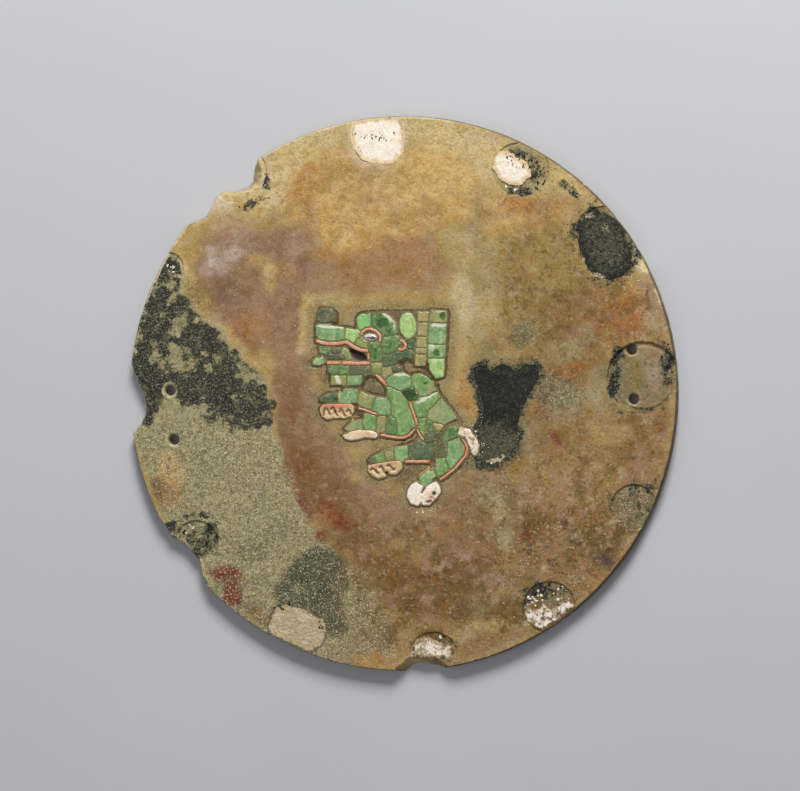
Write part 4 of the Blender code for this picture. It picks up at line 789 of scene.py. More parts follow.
def stone_finish():
    """Ground stone: broad stains, small blotches, crust in mottles, sandy grain, dark specks, worn edges, a
    painted highlight on the rim's upper left, and painted shade along the rim's outer edge and along the edges
    of the field and the seats.
    """
    f = Finish("stained_stone", 0.62, Specular_IOR_Level=0.4)
    varied = f.varied(f.put("Attribute", attribute_name="stain").outputs["Color"], 8.0, 1.1, 0.16)
    families = (
        ("straws", 5.7, (214, 184, 116), 0.5),
        ("straws", 2.9, (160, 120, 70), 0.42),
        ("violets", 4.6, (170, 144, 112), 0.38),
        ("violets", 3.1, (120, 86, 58), 0.5),
        ("oranges", 4.9, (176, 122, 68), 0.4),
        ("oranges", 2.7, (104, 64, 40), 0.45),
        ("umbers", 4.1, (86, 66, 38), 0.5),
        ("khakis", 3.7, (190, 178, 134), 0.45),
        ("khakis", 2.3, (112, 102, 70), 0.45),
    )
    mixed = (
        (17.0, 0.47, (112, 90, 48), 0.58),
        (12.0, 0.51, (168, 120, 74), 0.34),
        (14.5, 0.52, (160, 126, 104), 0.62),
        (6.5, 0.54, (92, 66, 38), 0.5),
        (9.0, 0.55, (182, 164, 124), 0.56),
        (4.0, 0.57, (94, 70, 42), 0.44),
        (3.4, 0.58, (194, 174, 138), 0.42),
    )
    colour = f.coats(
        varied["Color"],
        *((look, strength, name, size, 0.62, 0.72, 8.0, 0.14) for name, size, look, strength in families),
        *((look, strength, "mixed", size, low, low + 0.17, 12.0) for size, low, look, strength in mixed),
        ((206, 188, 146), 0.32, None, 3.1, 0.56, 0.68, 8.0),
        ((98, 78, 48), 0.42, None, 2.4, 0.58, 0.7, 8.0),
        ((76, 60, 38), 0.42, "mixed", 1.1, 0.56, 0.66, 6.0),
        ((210, 188, 144), 0.4, "mixed", 1.3, 0.6, 0.68, 6.0),
        ((122, 56, 36), 0.75, "rusty", 2.6, 0.69, 0.84, 10.0, 0.32),
        ((84, 50, 34), 0.6, "rusty", 1.2, 0.76, 0.92, 6.0, 0.24),
        ((84, 74, 70), 0.7, "bruised", 2.6, 0.69, 0.84, 10.0, 0.32),
        ((84, 50, 34), 0.6, "bruised", 1.2, 0.76, 0.92, 6.0, 0.24),
        ((112, 106, 76), 0.45, "grit", 8.0, 0.5, 0.66, 10.0),
        ((222, 210, 172), 0.75, "grit", 0.72, 0.56, 0.64, 2.0),
    )
    grains = f.times(f.mottle(0.95, 0.55, 0.61, 3.0), f.mask("grit"))
    colour = f.over(colour, (78, 76, 56), grains, 0.7)
    colour = f.coats(colour, ((62, 58, 44), 0.8, "soot", 1.1, 0.68, 0.76, 5.0, 0.16))
    drifts = f.times(f.mottle(12.0, 0.38, 0.62, 6.0), 0.26)
    crumbled = f.times(f.mottle(1.3, 0.32, 0.68, 6.0), 0.12)
    push = f.times(f.mask("crust"), f.plus(f.plus(drifts, crumbled), 0.185))
    film = f.mottle(5.5, 0.71, 0.84, 12.0, push)
    lichen = f.mottle(5.5, 0.79, 0.87, 12.0, push)
    for look, share, strength in (
        ((96, 94, 66), film, 0.72),
        ((34, 35, 22), lichen, 0.95),
        ((98, 97, 72), f.times(lichen, f.mottle(7.0, 0.52, 0.62, 12.0)), 0.7),
        ((146, 141, 106), f.times(lichen, f.mottle(1.0, 0.55, 0.61, 5.0)), 0.68),
        ((24, 26, 20), f.times(film, f.mottle(0.95, 0.55, 0.61, 4.0)), 0.62),
        ((172, 165, 128), f.times(film, f.mottle(0.75, 0.59, 0.63, 3.0)), 0.6),
    ):
        colour = f.over(colour, look, share, strength)
    colour = f.coats(
        colour,
        ((58, 46, 32), 0.7, None, 0.8, 0.69, 0.74, 3.0),
        # Worn rim edge, with a painted highlight on the upper left.
        ((216, 200, 160), 0.85, "worn", 2.0, 0.66, 0.92, 4.0, 0.45),
        # Painted shade: the rim's outer edge laid near black.
        ((44, 37, 28), 0.9, "edge"),
        # Painted shade along the edges of the field and of the seats.
        ((88, 74, 50), 0.85, "hollow", 1.6, 0.74, 0.98, 4.0, 0.5),
    )
    rough = f.plus(varied["Height"], f.times(grains, 0.8))
    return f.done(colour, f.plus(rough, f.times(lichen, 1.2)), 0.45, 0.00013)


def green_finish(name, base, second, third):
    """Polished green stone: cloudy patches of three greens, faint pale veins, painted highlights along the
    tiles' top edges, and grime in the low spots.
    """
    return coated(
        "green_stone_" + name, 0.3, base, (3.2, 0.9, 0.1), (0.12, 0.00008),
        (second, 0.95, None, 3.1, 0.45, 0.58, 6.0),
        (third, 0.85, None, 2.1, 0.52, 0.64, 6.0),
        ((150, 136, 92), 0.5, None, 2.3, 0.54, 0.7, 6.0),
        ((214, 214, 186), 0.4, None, 1.2, 0.6, 0.72, 8.0),
        ((60, 58, 40), 0.5, None, 0.9, 0.64, 0.72, 4.0),
        # Pale veins, with painted highlights along the top edges.
        ((226, 222, 200), 0.85, "pale", 0.8, 0.55, 0.95, 5.0, 0.5),
        ((52, 88, 44), 0.85, "deep", 1.0, 0.6, 0.95, 5.0, 0.5),
        ((182, 150, 104), 0.75, "warm", 1.4, 0.6, 1.0, 5.0, 0.5),
        ((132, 124, 84), 0.6, "seam", 1.2, 0.6, 1.05, 5.0, 0.5),
        Specular_IOR_Level=0.5,
    )


def shell_finish(name, base, light, dirty, roughness):
    """Worn shell: pale growth streaks, chalky patches, brown grime at its edges, a painted highlight on the
    claws' tops, and painted shade down in the claws' cuts.
    """
    return coated(
        "shell_" + name, roughness, base, (4.0, 0.8, 0.08), (0.3, 0.0001),
        (light, 0.6, None, 1.6, 0.46, 0.62, 5.0),
        ((240, 232, 214), 0.9, "pale", 1.0, 0.55, 0.95, 5.0, 0.5),
        (dirty, 0.55, None, 0.9, 0.64, 0.78, 4.0),
        ((224, 196, 152), 0.9, "fading", 3.0, 0.6, 0.8, 10.0, 0.4),
        ((150, 134, 98), 0.8, "crumbly", 3.0, 0.68, 0.78, 6.0, 0.22),
        ((84, 80, 60), 0.9, "crumbly", 2.2, 0.72, 0.8, 8.0, 0.22),
        ((206, 132, 100), 0.85, "warm", 1.2, 0.56, 0.9, 4.0, 0.5),
        ((120, 84, 58), 0.8, "seam", 0.8, 0.62, 1.05, 4.0, 0.5),
        # Painted shade down in the claws' cuts.
        ((122, 88, 54), 0.8, "cut", 0.8, 0.56, 0.98, 4.0, 0.5),
        # Dark spots, one of them painted shade in a hole at the foot of a paw.
        ((74, 58, 42), 0.9, "deep", 0.8, 0.6, 0.95, 4.0, 0.5),
    )


def mastic_finish():
    """Dark organic mastic with pale crumbs, painted shade along the field's edge and a painted shadow in the
    open mouth.
    """
    return coated(
        "dark_mastic", 0.8, (112, 96, 70), (5.0, 0.9, 0.16), (0.5, 0.00015),
        ((140, 124, 92), 0.6, None, 2.2, 0.48, 0.64, 6.0),
        ((182, 160, 126), 0.45, None, 0.7, 0.66, 0.74, 4.0),
        # Painted shade along the field's edge.
        ((86, 70, 48), 0.8, "hollow", 2.4, 0.6, 1.0, 5.0, 0.42),
        ((150, 138, 98), 0.8, "filled", 1.5, 0.52, 0.92, 6.0, 0.4),
        ((152, 134, 96), 0.9, "dusted", 1.5, 0.62, 0.92, 6.0, 0.5),
        ((206, 158, 108), 0.85, "crack", 0.9, 0.6, 0.95, 4.0, 0.5),
        # Painted shadow in the open mouth.
        ((46, 35, 27), 0.85, "gape"),
    )


def adhesive_finish():
    """Black residue of adhesive, grainy, with pale mineral grains and a brown dusting."""
    return coated(
        "black_adhesive", 0.85, (46, 47, 35), (5.0, 0.8, 0.25), (0.8, 0.0002),
        ((88, 88, 68), 0.3, None, 4.5, 0.5, 0.66, 10.0),
        ((30, 30, 22), 0.75, None, 1.3, 0.52, 0.6, 6.0),
        ((124, 120, 94), 0.45, None, 0.9, 0.6, 0.68, 5.0),
        ((176, 166, 132), 0.5, None, 0.7, 0.68, 0.74, 3.0),
        ((96, 95, 74), 0.8, "dusted", 2.2, 0.52, 0.8, 9.0, 0.26),
        ((150, 143, 112), 0.6, "dusted", 0.9, 0.56, 0.62, 4.0),
        ((28, 29, 24), 0.7, "dusted", 1.0, 0.57, 0.62, 4.0),
        ((214, 196, 160), 0.9, "pale", 1.1, 0.6, 0.95, 5.0, 0.5),
    )


def fill_finish():
    """Tan fill, with grey-green edges and reddish tints."""
    return coated(
        "tan_fill", 0.75, (190, 172, 136), (6.0, 1.2, 0.12), (0.8, 0.0002),
        ((216, 196, 166), 0.75, None, 5.0, 0.48, 0.6, 8.0),
        ((158, 112, 84), 0.6, None, 6.0, 0.56, 0.68, 8.0),
        ((126, 112, 82), 0.6, None, 2.0, 0.58, 0.68, 6.0),
        ((86, 84, 66), 0.85, "seam", 2.2, 0.62, 0.9, 8.0, 0.5),
    )


def eye_finish():
    """A polished silvery lens with a dark pupil."""
    f = Finish("silvery_lens", 0.12, Coat_Weight=0.5)
    return f.done(f.coats(
        tone(222, 216, 204),
        ((178, 168, 150), 0.6, None, 1.2, 0.46, 0.62, 4.0),
        ((58, 48, 38), 0.95, "deep"),
    ))


# ---------------------------------------------------------------- the stone disc


def rough_line(loop, amount):
    """An outline with its broken stretches made ragged and its rim kept round, nicked here and there. How far
    inside the rim's circle a point lies says whether it is on the rim or on a fracture."""
    far = np.hypot(*loop.T)
    broken = eased(RADIUS - far, 0.25, 0.7)[:, None]
    x, y = loop.T
    ragged = sway(x, y, 2.6, 31) * amount
    nick = 0.1 * (ripple(x, y, 7.0, 33, 2) - 1.0) - 0.5 * eased(ripple(x, y, 4.0, 34, 2), 0.45, 0.9)
    onto_rim = loop / far[:, None] * (RADIUS + nick)[:, None]
    return onto_rim * (1.0 - broken) + (loop + ragged) * broken


def beside(loop, offsets, spacing):
    """Points along an outline at several distances to its left and right."""
    line = spaced(loop, spacing)
    return np.vstack([pushed(line, off) for off in offsets])


def over_disc(spacing, seed):
    return honeycomb((-135, -135), (135, 135), spacing, seed)


def clear_of(centres, radius, points):
    """The points that lie further than that from every centre."""
    for centre in centres:
        points = points[np.hypot(*(points - centre).T) > radius]
    return points


def field_outlines():
    """The outlines of the sunk field and of the island in it, the field on their left, without the sliver of
    stone behind the rump, which the mastic covers."""
    return [loop[::-1] for loop in section("stone_disc", THROUGH_FIELD) if length_round(loop) > 25.0][1:]


def disc_outlines():
    """What shapes the disc, in plan: its outlines near the back and near the face, its sunk places and its
    holes. At the heights of the seats and of the groove these are outlines of the stone that is left, so a
    place inside them is not sunk; a place inside the field is."""
    low, *holes = section("stone_disc", LOW)
    centres = [loop.mean(axis=0) for loop in holes]
    angle = np.linspace(0.0, -2.0 * math.pi, 32, endpoint=False)
    circle = HOLE_RADIUS * np.column_stack((np.cos(angle), np.sin(angle)))
    return SimpleNamespace(
        low=rough_line(spaced(low, 0.7), 0.5),
        high=rough_line(spaced(section("stone_disc", BELOW_SEATS)[0], 0.5), 0.8),
        seats=section("stone_disc", THROUGH_SEATS),
        groove=section("stone_disc", THROUGH_GROOVE),
        field=field_outlines(),
        centres=centres,
        bores=[centre + circle for centre in centres],
    )


def face_crowd(o):
    """The points of the face inside its edges: lines beside each step, and honeycombs, fine near the seats."""
    lines = [
        *((loop, (-0.3, 0.0, 0.3), 0.62) for loop in o.seats[1:]),
        *((loop, (-0.85, -0.45, -0.1, 0.3), 0.5) for loop in o.field),
        (o.seats[0], (-0.3, 0.0, 0.3), 0.62),
        (o.groove[0], (-0.3, 0.3), 0.62),
        (o.high, (-0.9, -0.45, 0.0, 0.4), 0.7),
        (o.low, (-0.3, -0.6, -1.0), 0.7),
    ]
    countersinks = [centre + (bore - centre) * k for centre, bore in zip(o.centres, o.bores)
                    for k in (1.15, HOLE_MOUTH / HOLE_RADIUS, 1.6, 1.9)]
    fine = over_disc(0.72, 41)
    fine = fine[(inside(fine, o.seats) < 0.8) & (np.hypot(*fine.T) < RADIUS)]
    fine = fine[(inside(fine, [o.low]) > 0.4) & (inside(fine, o.field) < 1.0)]
    coarse = over_disc(1.06, 42)
    coarse = coarse[(inside(coarse, o.seats) > 0.8) & (inside(coarse, [o.low]) > 0.6)]
    floor = honeycomb(np.min(o.field[0], axis=0), np.max(o.field[0], axis=0), 1.4, 43)
    floor = floor[inside(floor, o.field) > 1.2]
    crowd = np.vstack((fine, coarse, floor, *(beside(*line) for line in lines), *countersinks))
    crowd = crowd[inside(crowd, [o.low]) > 0.2]
    return thinned(clear_of(o.centres, HOLE_RADIUS + 0.25, crowd), 0.22)


def face_height(o, plan):
    """The height of the face over its plan.

    Inside the rim it is rounded off over the last 0.75 mm as 1.4 t^1.7. At a fracture it runs from the face
    down to the lower outline in proportion to the distances from the two outlines. Each seat, groove and bed
    lowers it by its depth, eased over a third of a millimetre.
    """
    x, y = plan.T
    uneven = plan + 0.28 * sway(x, y, 2.2, 51)
    to_low, to_high = inside(plan, [o.low]), inside(plan, [o.high])
    slope = LOW + (BELOW_SEATS - LOW) * to_low / np.maximum(to_low - to_high, 0.06)
    layered = 0.35 * ripple(x, y, 3.0, 53, 4) * eased(FACE - slope, 0.0, 1.5)
    from_rim = RADIUS - np.hypot(x, y)
    height = FACE - 0.035 * (1.0 + ripple(x, y, 30.0, 54, 4)) - 0.02 * (1 + ripple(x, y, 1.8, 55, 2))
    height -= 1.4 * np.clip(1.0 - from_rim / CHAMFER, 0.0, 1.0) ** 1.7
    height -= 0.35 * eased(ripple(x, y, 3.4, 56), 0.35, 0.8) * faded(from_rim, 0.4, 2.2)
    in_seat = eased(-inside(uneven, o.seats), -0.12, 0.3)
    in_groove = eased(-inside(uneven, o.groove), -0.1, 0.35)
    in_field = eased(inside(uneven, o.field), 0.2, 0.8)
    height -= 0.8 * in_seat + 0.6 * in_groove + 1.6 * in_field
    height += in_seat * (1.0 - in_field) * (0.16 * ripple(x, y, 2.6, 57, 4) + 0.1 * ripple(x, y, 0.9, 58, 2))
    for centre in o.centres:
        far = np.hypot(*(plan - centre).T)
        height -= 0.95 * np.clip((HOLE_MOUTH + 0.15 - far) / (HOLE_MOUTH - HOLE_RADIUS + 0.15), 0.0, 1.0) ** 1.2
    return np.minimum(height, np.maximum(slope + layered, LOW - 0.1))


def disc():
    """The disc as one closed body: its face over a plan, a level underside, and walls carried down along the
    edges in rings."""
    o = disc_outlines()
    loops = [o.low, *o.bores]
    ranges = spans(loops)
    plan = np.vstack((*loops, face_crowd(o)))
    top = triangulated(plan, ranges)
    height = face_height(o, plan)

    back_crowd = over_disc(4.5, 44)
    back_crowd = clear_of(o.centres, HOLE_MOUTH + 1.0, back_crowd[inside(back_crowd, [o.low]) > 2.0])
    mouths = [centre + (bore - centre) * (HOLE_MOUTH / HOLE_RADIUS) for centre, bore in zip(o.centres, o.bores)]
    back_plan = np.vstack((pushed(o.low, -0.6), *mouths, back_crowd))
    back = triangulated(back_plan, ranges)

    vertices, total = [np.column_stack((plan, height))], len(plan)
    walls, lowest = [], []
    for loop, ring in zip(loops, ranges):
        levels = [(loop, np.full(len(loop), level)) for level in (FACE - 1.6, 0.9)]
        if loop is o.low:
            swell = outward(loop) * 0.12 * (ripple(*loop.T, 1.8, 61, 2) - 1)[:, None]
            levels = [(loop + swell * part, height[ring] * (1.0 - share) + 0.75 * share)
                      for share, part in ((0.35, 0.5), (0.7, 1.0))]
        for outline, level in levels:
            vertices.append(np.column_stack((outline, level)))
            walls.append((ring, np.arange(total, total + len(loop))))
            ring, total = walls[-1][1], total + len(loop)
        lowest.append(ring)
    vertices.append(np.column_stack((back_plan, np.zeros(len(back_plan)))))
    walls += [(ring, total + span) for ring, span in zip(lowest, ranges)]
    faces = [*top.tolist(), *(back[:, ::-1] + total).tolist()]
    for upper, lower in walls:
        faces += walled(upper, lower)
    vertices = np.vstack(vertices)
    piece("disc_stained_face", vertices, faces, stone_finish(), "stone", ("stone_disc",), 40.0,
          **disc_masks(o, vertices))


def disc_masks(o, vertices):
    """The disc's colours, with painted shade low on the fracture faces and a painted highlight on the rim's
    upper left, and the masks that say where its finish lays crust, grit, soot and blotches, and painted shade
    along the rim's edge and along the edges of the field and the seats.
    """
    x, y, z = vertices.T
    places = vertices[:, :2]
    to_seat, to_field = inside(places, o.seats), inside(places, o.field)
    from_rim = RADIUS - np.hypot(x, y)
    back_face = eased(z, 1.6, 0.4)
    front = 1.0 - back_face
    colour, families = laid(x, y, "ochre")
    halo = faded(-to_field + 2.2 * ripple(x, y, 6.0, 71), 1.5, 6.5)
    island = (to_field < 0.0) & (inside(places, o.field[:1]) > 0.0)
    in_seat = np.where(to_field > -0.5, 0.0, eased(-to_seat, -0.2, 0.3)) * (from_rim > 0.9)
    broken = eased(FACE - z, 0.6, 1.6) * (1.0 - in_seat) * (to_field < -1.0) * front
    shadowed = eased(FACE - z, 1.3, 2.6) * mask(x, y, [(-74, 106, 7.5, 12, 0, 1.0)])
    bent_places = bent(x, y, 0.0, 1.2)
    for look, share in (
        (tone(132, 120, 86), 0.55 * halo),
        (tone(112, 102, 78), 0.85 * island),
        *((STONE_TONES[key], strength * in_seat * ellipse(bent_places, *place))
          for key, *place, strength in SEAT_STAINS),
        (tone(150, 130, 92), 0.7 * back_face),
        # Fracture faces: cream near the face, and darker lower down, which is painted shade.
        (tone(206, 192, 150), 0.75 * broken * eased(z, 4.0, 6.0)),
        (tone(122, 108, 80), 0.75 * broken * faded(z, 3.0, 5.0)),
        (tone(82, 78, 70), 0.85 * shadowed),
    ):
        colour = blended(colour, look, share)
    bare = np.zeros(len(x))
    for centre in o.centres:
        far = np.hypot(x - centre[0], y - centre[1])
        ring = (0.8 if centre[0] < 0.0 else 0.35) * faded(far, HOLE_MOUTH, HOLE_MOUTH + 0.9) * front
        colour = blended(colour, tone(196, 180, 144), ring)
        bare = np.maximum(bare, 1.0 - eased(far, HOLE_MOUTH + 0.2, HOLE_MOUTH + 1.4))
    # The rim's edge laid pale: on the upper left this is a painted highlight where the rounded edge meets the
    # light; on the right it is a pale broken facet.
    highlit_rim_and_pale_facet = eased(y, 20.0, 60.0) * faded(x, 0.0, 60.0) + mask(x, y, [(130, 52, 7, 12, 20, 1.0)], 1.5)
    chipped = faded(inside(places, [o.high]) + 1.2 * ripple(x, y, 4.0, 75), 0.2, 3.4)
    colour = blended(colour, STONE_TONES["cream"], 0.6 * chipped * eased(from_rim, 1.5, 3.5) * front)
    to_tail = inside(places, [min(o.seats, key=lambda loop: np.hypot(*(loop.mean(axis=0) - TAIL_MIDDLE)))])
    beside_tail = faded(-to_tail + 3.0 * ripple(x, y, 7.0, 74), 0.5, 7.0)
    colour = blended(colour, tone(112, 106, 78), 0.6 * beside_tail)

    crust = np.maximum(mask(x, y, CRUST, 2.0), field_mask(x, y, CRUST_FIELDS))
    crust = np.maximum(crust, 1.25 * faded(-to_tail + 2.0 * ripple(x, y, 5.0, 72), 0.0, 5.5))
    middle = o.groove[0].mean(axis=0)
    from_groove = np.abs(np.hypot(x - middle[0], y - middle[1]) - GROOVE_RADIUS)
    thick = 0.7 + 0.9 * mask(x, y, [(104, 8, 6, 16, 0, 1.0), (131, 14, 6, 12, 0, 0.8)], 2.0)
    crust = np.maximum(crust, thick * faded(from_groove, 0.7, 2.6)) * (1.0 - 0.8 * bare)
    # Painted shade along the edges of the sunk field and of the seats, less where pale earth has silted.
    field_edge_shade = 0.85 * faded(np.abs(to_field), 0.1, 1.3) * (1.0 - 0.7 * mask(x, y, DUSTED, 1.0, 0.4))
    seat_edge_shade = 0.2 * faded(np.abs(to_seat), 0.1, 0.7) * (from_rim > 1.2)
    return {
        "stain": colour,
        "crust": crust * front,
        **{name: share * front for name, share in families.items()},
        "grit": np.maximum(field_mask(x, y, GRIT_FIELDS), 0.35 * halo) * front,
        "soot": np.maximum(mask(x, y, SOOT, 2.0, 0.6), np.maximum(0.6 * halo, 1.1 * beside_tail)) * front,
        "mixed": field_mask(x, y, MIXED_FIELDS) * (1.0 - halo),
        "rusty": mask(x, y, RUSTY, 1.5) * front,
        "bruised": mask(x, y, BRUISED, 1.5) * front,
        # The rim's worn edge: faintly pale all round, and paler on the upper left, where it is a painted
        # highlight.
        "worn": faded(from_rim, 1.1, 2.1) * eased(z, 3.0, 6.0) * (0.12 + 0.88 * highlit_rim_and_pale_facet),
        # The rim's outer edge is laid near black: painted shade on the bevel.
        "edge": faded(from_rim, 0.3, 0.85) * front,
        "hollow": np.maximum(field_edge_shade, seat_edge_shade) * (0.8 + 0.6 * ripple(x, y, 6.0, 73)),
    }


# What the floor of each rim seat looks like: tone, x, y, half widths, turn, strength.
SEAT_STAINS = [
    ("grey_green", 58, 108, 15, 14, 0, 0.6), ("khaki", 64, 98, 6, 5, 0, 0.6),
    ("slate", 100, 72, 14, 18, 18, 0.85), ("cream", 118, 66, 4, 9, 25, 0.8),
    ("grey_green", 116, 8, 18, 18, 0, 0.7), ("olive", 115, 8, 4, 9, 0, 0.6), ("rose", 123, 10, 4, 7, 0, 0.45),
    ("grey_green", 114, -55, 12, 12, 0, 0.8), ("umber", 116, -52, 6, 5, 0, 0.4),
    ("rose", 110, -58, 3, 3, 0, 0.5), ("grey_green", 73, -98, 13, 8, 0, 0.75),
    ("khaki", 73, -110, 12, 6, 0, 0.5), ("peach", 11, -124, 6, 6, 0, 0.6), ("slate", 18, -119, 7, 4, 0, 0.5),
    ("grey_green", -102, -72, 11, 10, 0, 0.7), ("rose", -107, -67, 4, 3, 0, 0.7),
    ("black", -113, -67, 3, 3, 0, 0.7), ("black", -127, -9, 5, 10, 0, 0.7), ("cream", -89, 98, 4, 3, 0, 0.8),
    ("white", -113, 62, 2.4, 1.6, -30, 0.7),
]


# ---------------------------------------------------------------- the inlay

GREENS = {
    "charcoal": ((108, 110, 84), (82, 88, 66), (140, 138, 106)),
    "slate": ((102, 116, 84), (74, 98, 72), (132, 146, 110)),
    "moss": ((112, 142, 88), (84, 116, 68), (150, 168, 112)),
    "leaf": ((134, 166, 104), (106, 144, 82), (168, 188, 128)),
    "jade": ((140, 170, 118), (112, 150, 98), (172, 194, 144)),
    "bright": ((142, 196, 122), (110, 170, 98), (178, 214, 150)),
    "lime": ((176, 204, 134), (146, 182, 104), (204, 220, 162)),
    "mint": ((154, 184, 126), (118, 158, 100), (186, 208, 156)),
    "yellow": ((156, 158, 102), (124, 142, 82), (182, 174, 120)),
    "sage": ((152, 164, 114), (126, 150, 98), (180, 182, 134)),
    "straw": ((172, 160, 108), (142, 142, 90), (192, 174, 124)),
    "deep": ((68, 92, 52), (48, 70, 38), (92, 114, 66)),
}
# Which green each tile is, by a point on it.
GREEN_AT = {
    "charcoal": [(-37, 38), (-33, 18), (-20, 11), (-32, 21), (20, -27), (-2, 12), (14, -21)],
    "slate": [(-36, -2), (-15, -32), (-1, 18), (11, -28), (5, 24), (5, -28)],
    "moss": [(-9, 33), (-13, 20), (-6, 24), (24, -19), (14, -16), (-38, 21), (-31, 11), (-5, -16)],
    "leaf": [(-2, -4), (11, 5), (12, -6), (19, -34), (-16, -15), (1, -15), (-11, -31), (10, -15)],
    "jade": [(-35, 29), (27, -28), (18, 29), (-1, 6), (-10, -6), (-26, -2), (-23, 6)],
    "bright": [(-19, 35)],
    "lime": [(18, 12), (3, 33), (-24, 28)],
    "mint": [(0, -28), (12, -41), (18, 20), (-41, 16)],
    "sage": [(19, -10), (-24, -16)],
    "yellow": [(-19, 24), (-18, -4), (-12, 13), (-31, 6), (-27, 19), (-6, -29), (18, 37)],
    "straw": [(11, 37), (11, 31), (10, 25), (10, 21), (9, 16), (-6, 10), (18, -16), (-10, -15)],
    "deep": [(4, -1)],
}
# Pale, dark green and tan patches on the inlay: x, y, half widths, turn, strength. The long thin pale strokes
# along the tiles' top edges are painted highlights.
PALE_PATCHES_AND_HIGHLIGHTS = [
    (-35, 32.4, 7.0, 0.7, -3, 1.0), (-6.6, 37.0, 4.6, 0.7, -38, 0.9), (-3.2, 33.5, 0.6, 3.0, 0, 0.7),
    (12.5, -2.2, 5.6, 0.8, 28, 1.0), (-1.0, 9.2, 3.6, 0.7, 0, 0.9), (18.0, 33.0, 3.6, 0.9, 0, 0.9),
    (18.6, 39.6, 2.6, 0.6, 10, 0.6), (15.0, 22.5, 1.6, 1.6, 0, 0.6), (-31.0, 6.8, 1.2, 2.4, 30, 0.9),
    (-6.6, 26.8, 1.4, 0.6, 0, 0.5), (22.5, -24.5, 0.5, 4.0, -10, 0.4), (8.4, 0.2, 1.0, 0.6, 0, 0.6),
    (-30.6, -1.4, 0.45, 2.0, 0, 1.0), (3.0, 38.2, 1.6, 0.8, 0, 0.5),
]
DEEP = [
    (12.0, 5.0, 1.2, 0.8, 20, 1.0), (17.4, 19.8, 1.6, 2.0, 0, 1.0), (-9.5, 34.5, 3.4, 2.6, 20, 0.9),
    (-6.0, 31.0, 2.0, 2.0, 0, 0.6), (20.6, 37.6, 1.6, 2.0, 0, 0.8), (-13.0, 19.0, 0.8, 3.0, 0, 0.6),
    (-32.0, -2.6, 1.6, 1.6, 0, 0.8), (-6.0, 24.0, 1.4, 2.6, 0, 0.4), (4.0, -1.0, 3.0, 2.0, 0, 0.5),
    # The last spot in the next row, at the foot of a paw, is painted shade in a hole.
    (-0.5, -28.0, 1.0, 1.6, 0, 0.4), (16.0, 3.4, 1.4, 0.8, 0, 0.5), (-7.1, -38.9, 0.9, 1.2, -30, 1.2),
    (16.2, -48.4, 0.8, 1.0, 0, 1.2), (13.7, -52.4, 1.6, 0.7, 20, 0.9), (10.6, -46.6, 0.5, 1.6, -30, 0.8),
    (-32.6, -8.6, 0.7, 0.8, 0, 0.8), (34.6, -22.0, 0.8, 1.0, 0, 0.5),
]
WARM = [
    (14.6, 2.2, 1.6, 2.2, 40, 0.9), (15.6, -9.6, 1.4, 2.4, 0, 0.7), (22.5, -9.0, 2.0, 1.2, 0, 0.35),
    (9.8, 34, 1.4, 6.0, 0, 0.6), (-8.2, -34.2, 8.0, 1.2, 6, 0.45), (30.5, -27, 1.2, 3.0, 20, 0.8),
    (-25, -17, 2.6, 1.4, 0, 0.8), (15.0, 37.0, 1.8, 1.6, 0, 0.8), (-26.5, 7.6, 2.4, 0.8, 0, 0.6),
    (-31.5, -5.9, 9.0, 1.4, 0, 1.0), (6.0, 33.0, 0.9, 3.0, 10, 0.6), (-19.0, 23.6, 3.0, 1.0, -20, 0.5),
    (14.6, 12.0, 0.6, 3.0, 0, 0.6), (36.0, -22.0, 1.4, 1.8, -40, 0.2), (15.4, -51.4, 3.4, 2.8, 20, 0.45),
    (-15.6, -19.4, 3.0, 1.0, -20, 0.5), (34.0, -19.0, 1.4, 1.0, -40, 0.3), (36.6, -27.0, 1.0, 2.4, 0, 0.4),
]


# Paws and heel: where the shell has gone straw-coloured, and where it crumbles.
FADED = [(-21, -20, 9, 2.6, 0, 0.85), (33, -22, 5, 8, 30, 0.5), (12, -50, 8, 3, 20, 0.4)]
CRUMBLED = [
    (35.6, -24, 5, 9, 30, 0.75), (30.4, -16.4, 2.4, 1.8, 0, 0.6), (-15, -21.6, 3, 1.6, 0, 0.6),
    (12, -55.6, 8, 2.4, 0, 0.7), (16.6, -50, 2.8, 5, 0, 0.7), (12, -57.4, 6, 1.4, 6, 0.9),
    (36, -30, 3, 5, 20, 0.9),
]


def inlay_masks(edge):
    """Masks of an inlaid piece: its pale patches and the painted highlights along the top edges, its deep and
    warm patches, and the grime along its seam.
    """
    return lambda x, y: {
        # Pale patches, with painted highlights along the tiles' top edges.
        "pale": mask(x, y, PALE_PATCHES_AND_HIGHLIGHTS, 0.5),
        "deep": mask(x, y, DEEP, 0.5),
        "warm": mask(x, y, WARM, 0.6, 0.6),
        "seam": faded(depth_in(edge, x, y), 0.0, 0.5),
    }


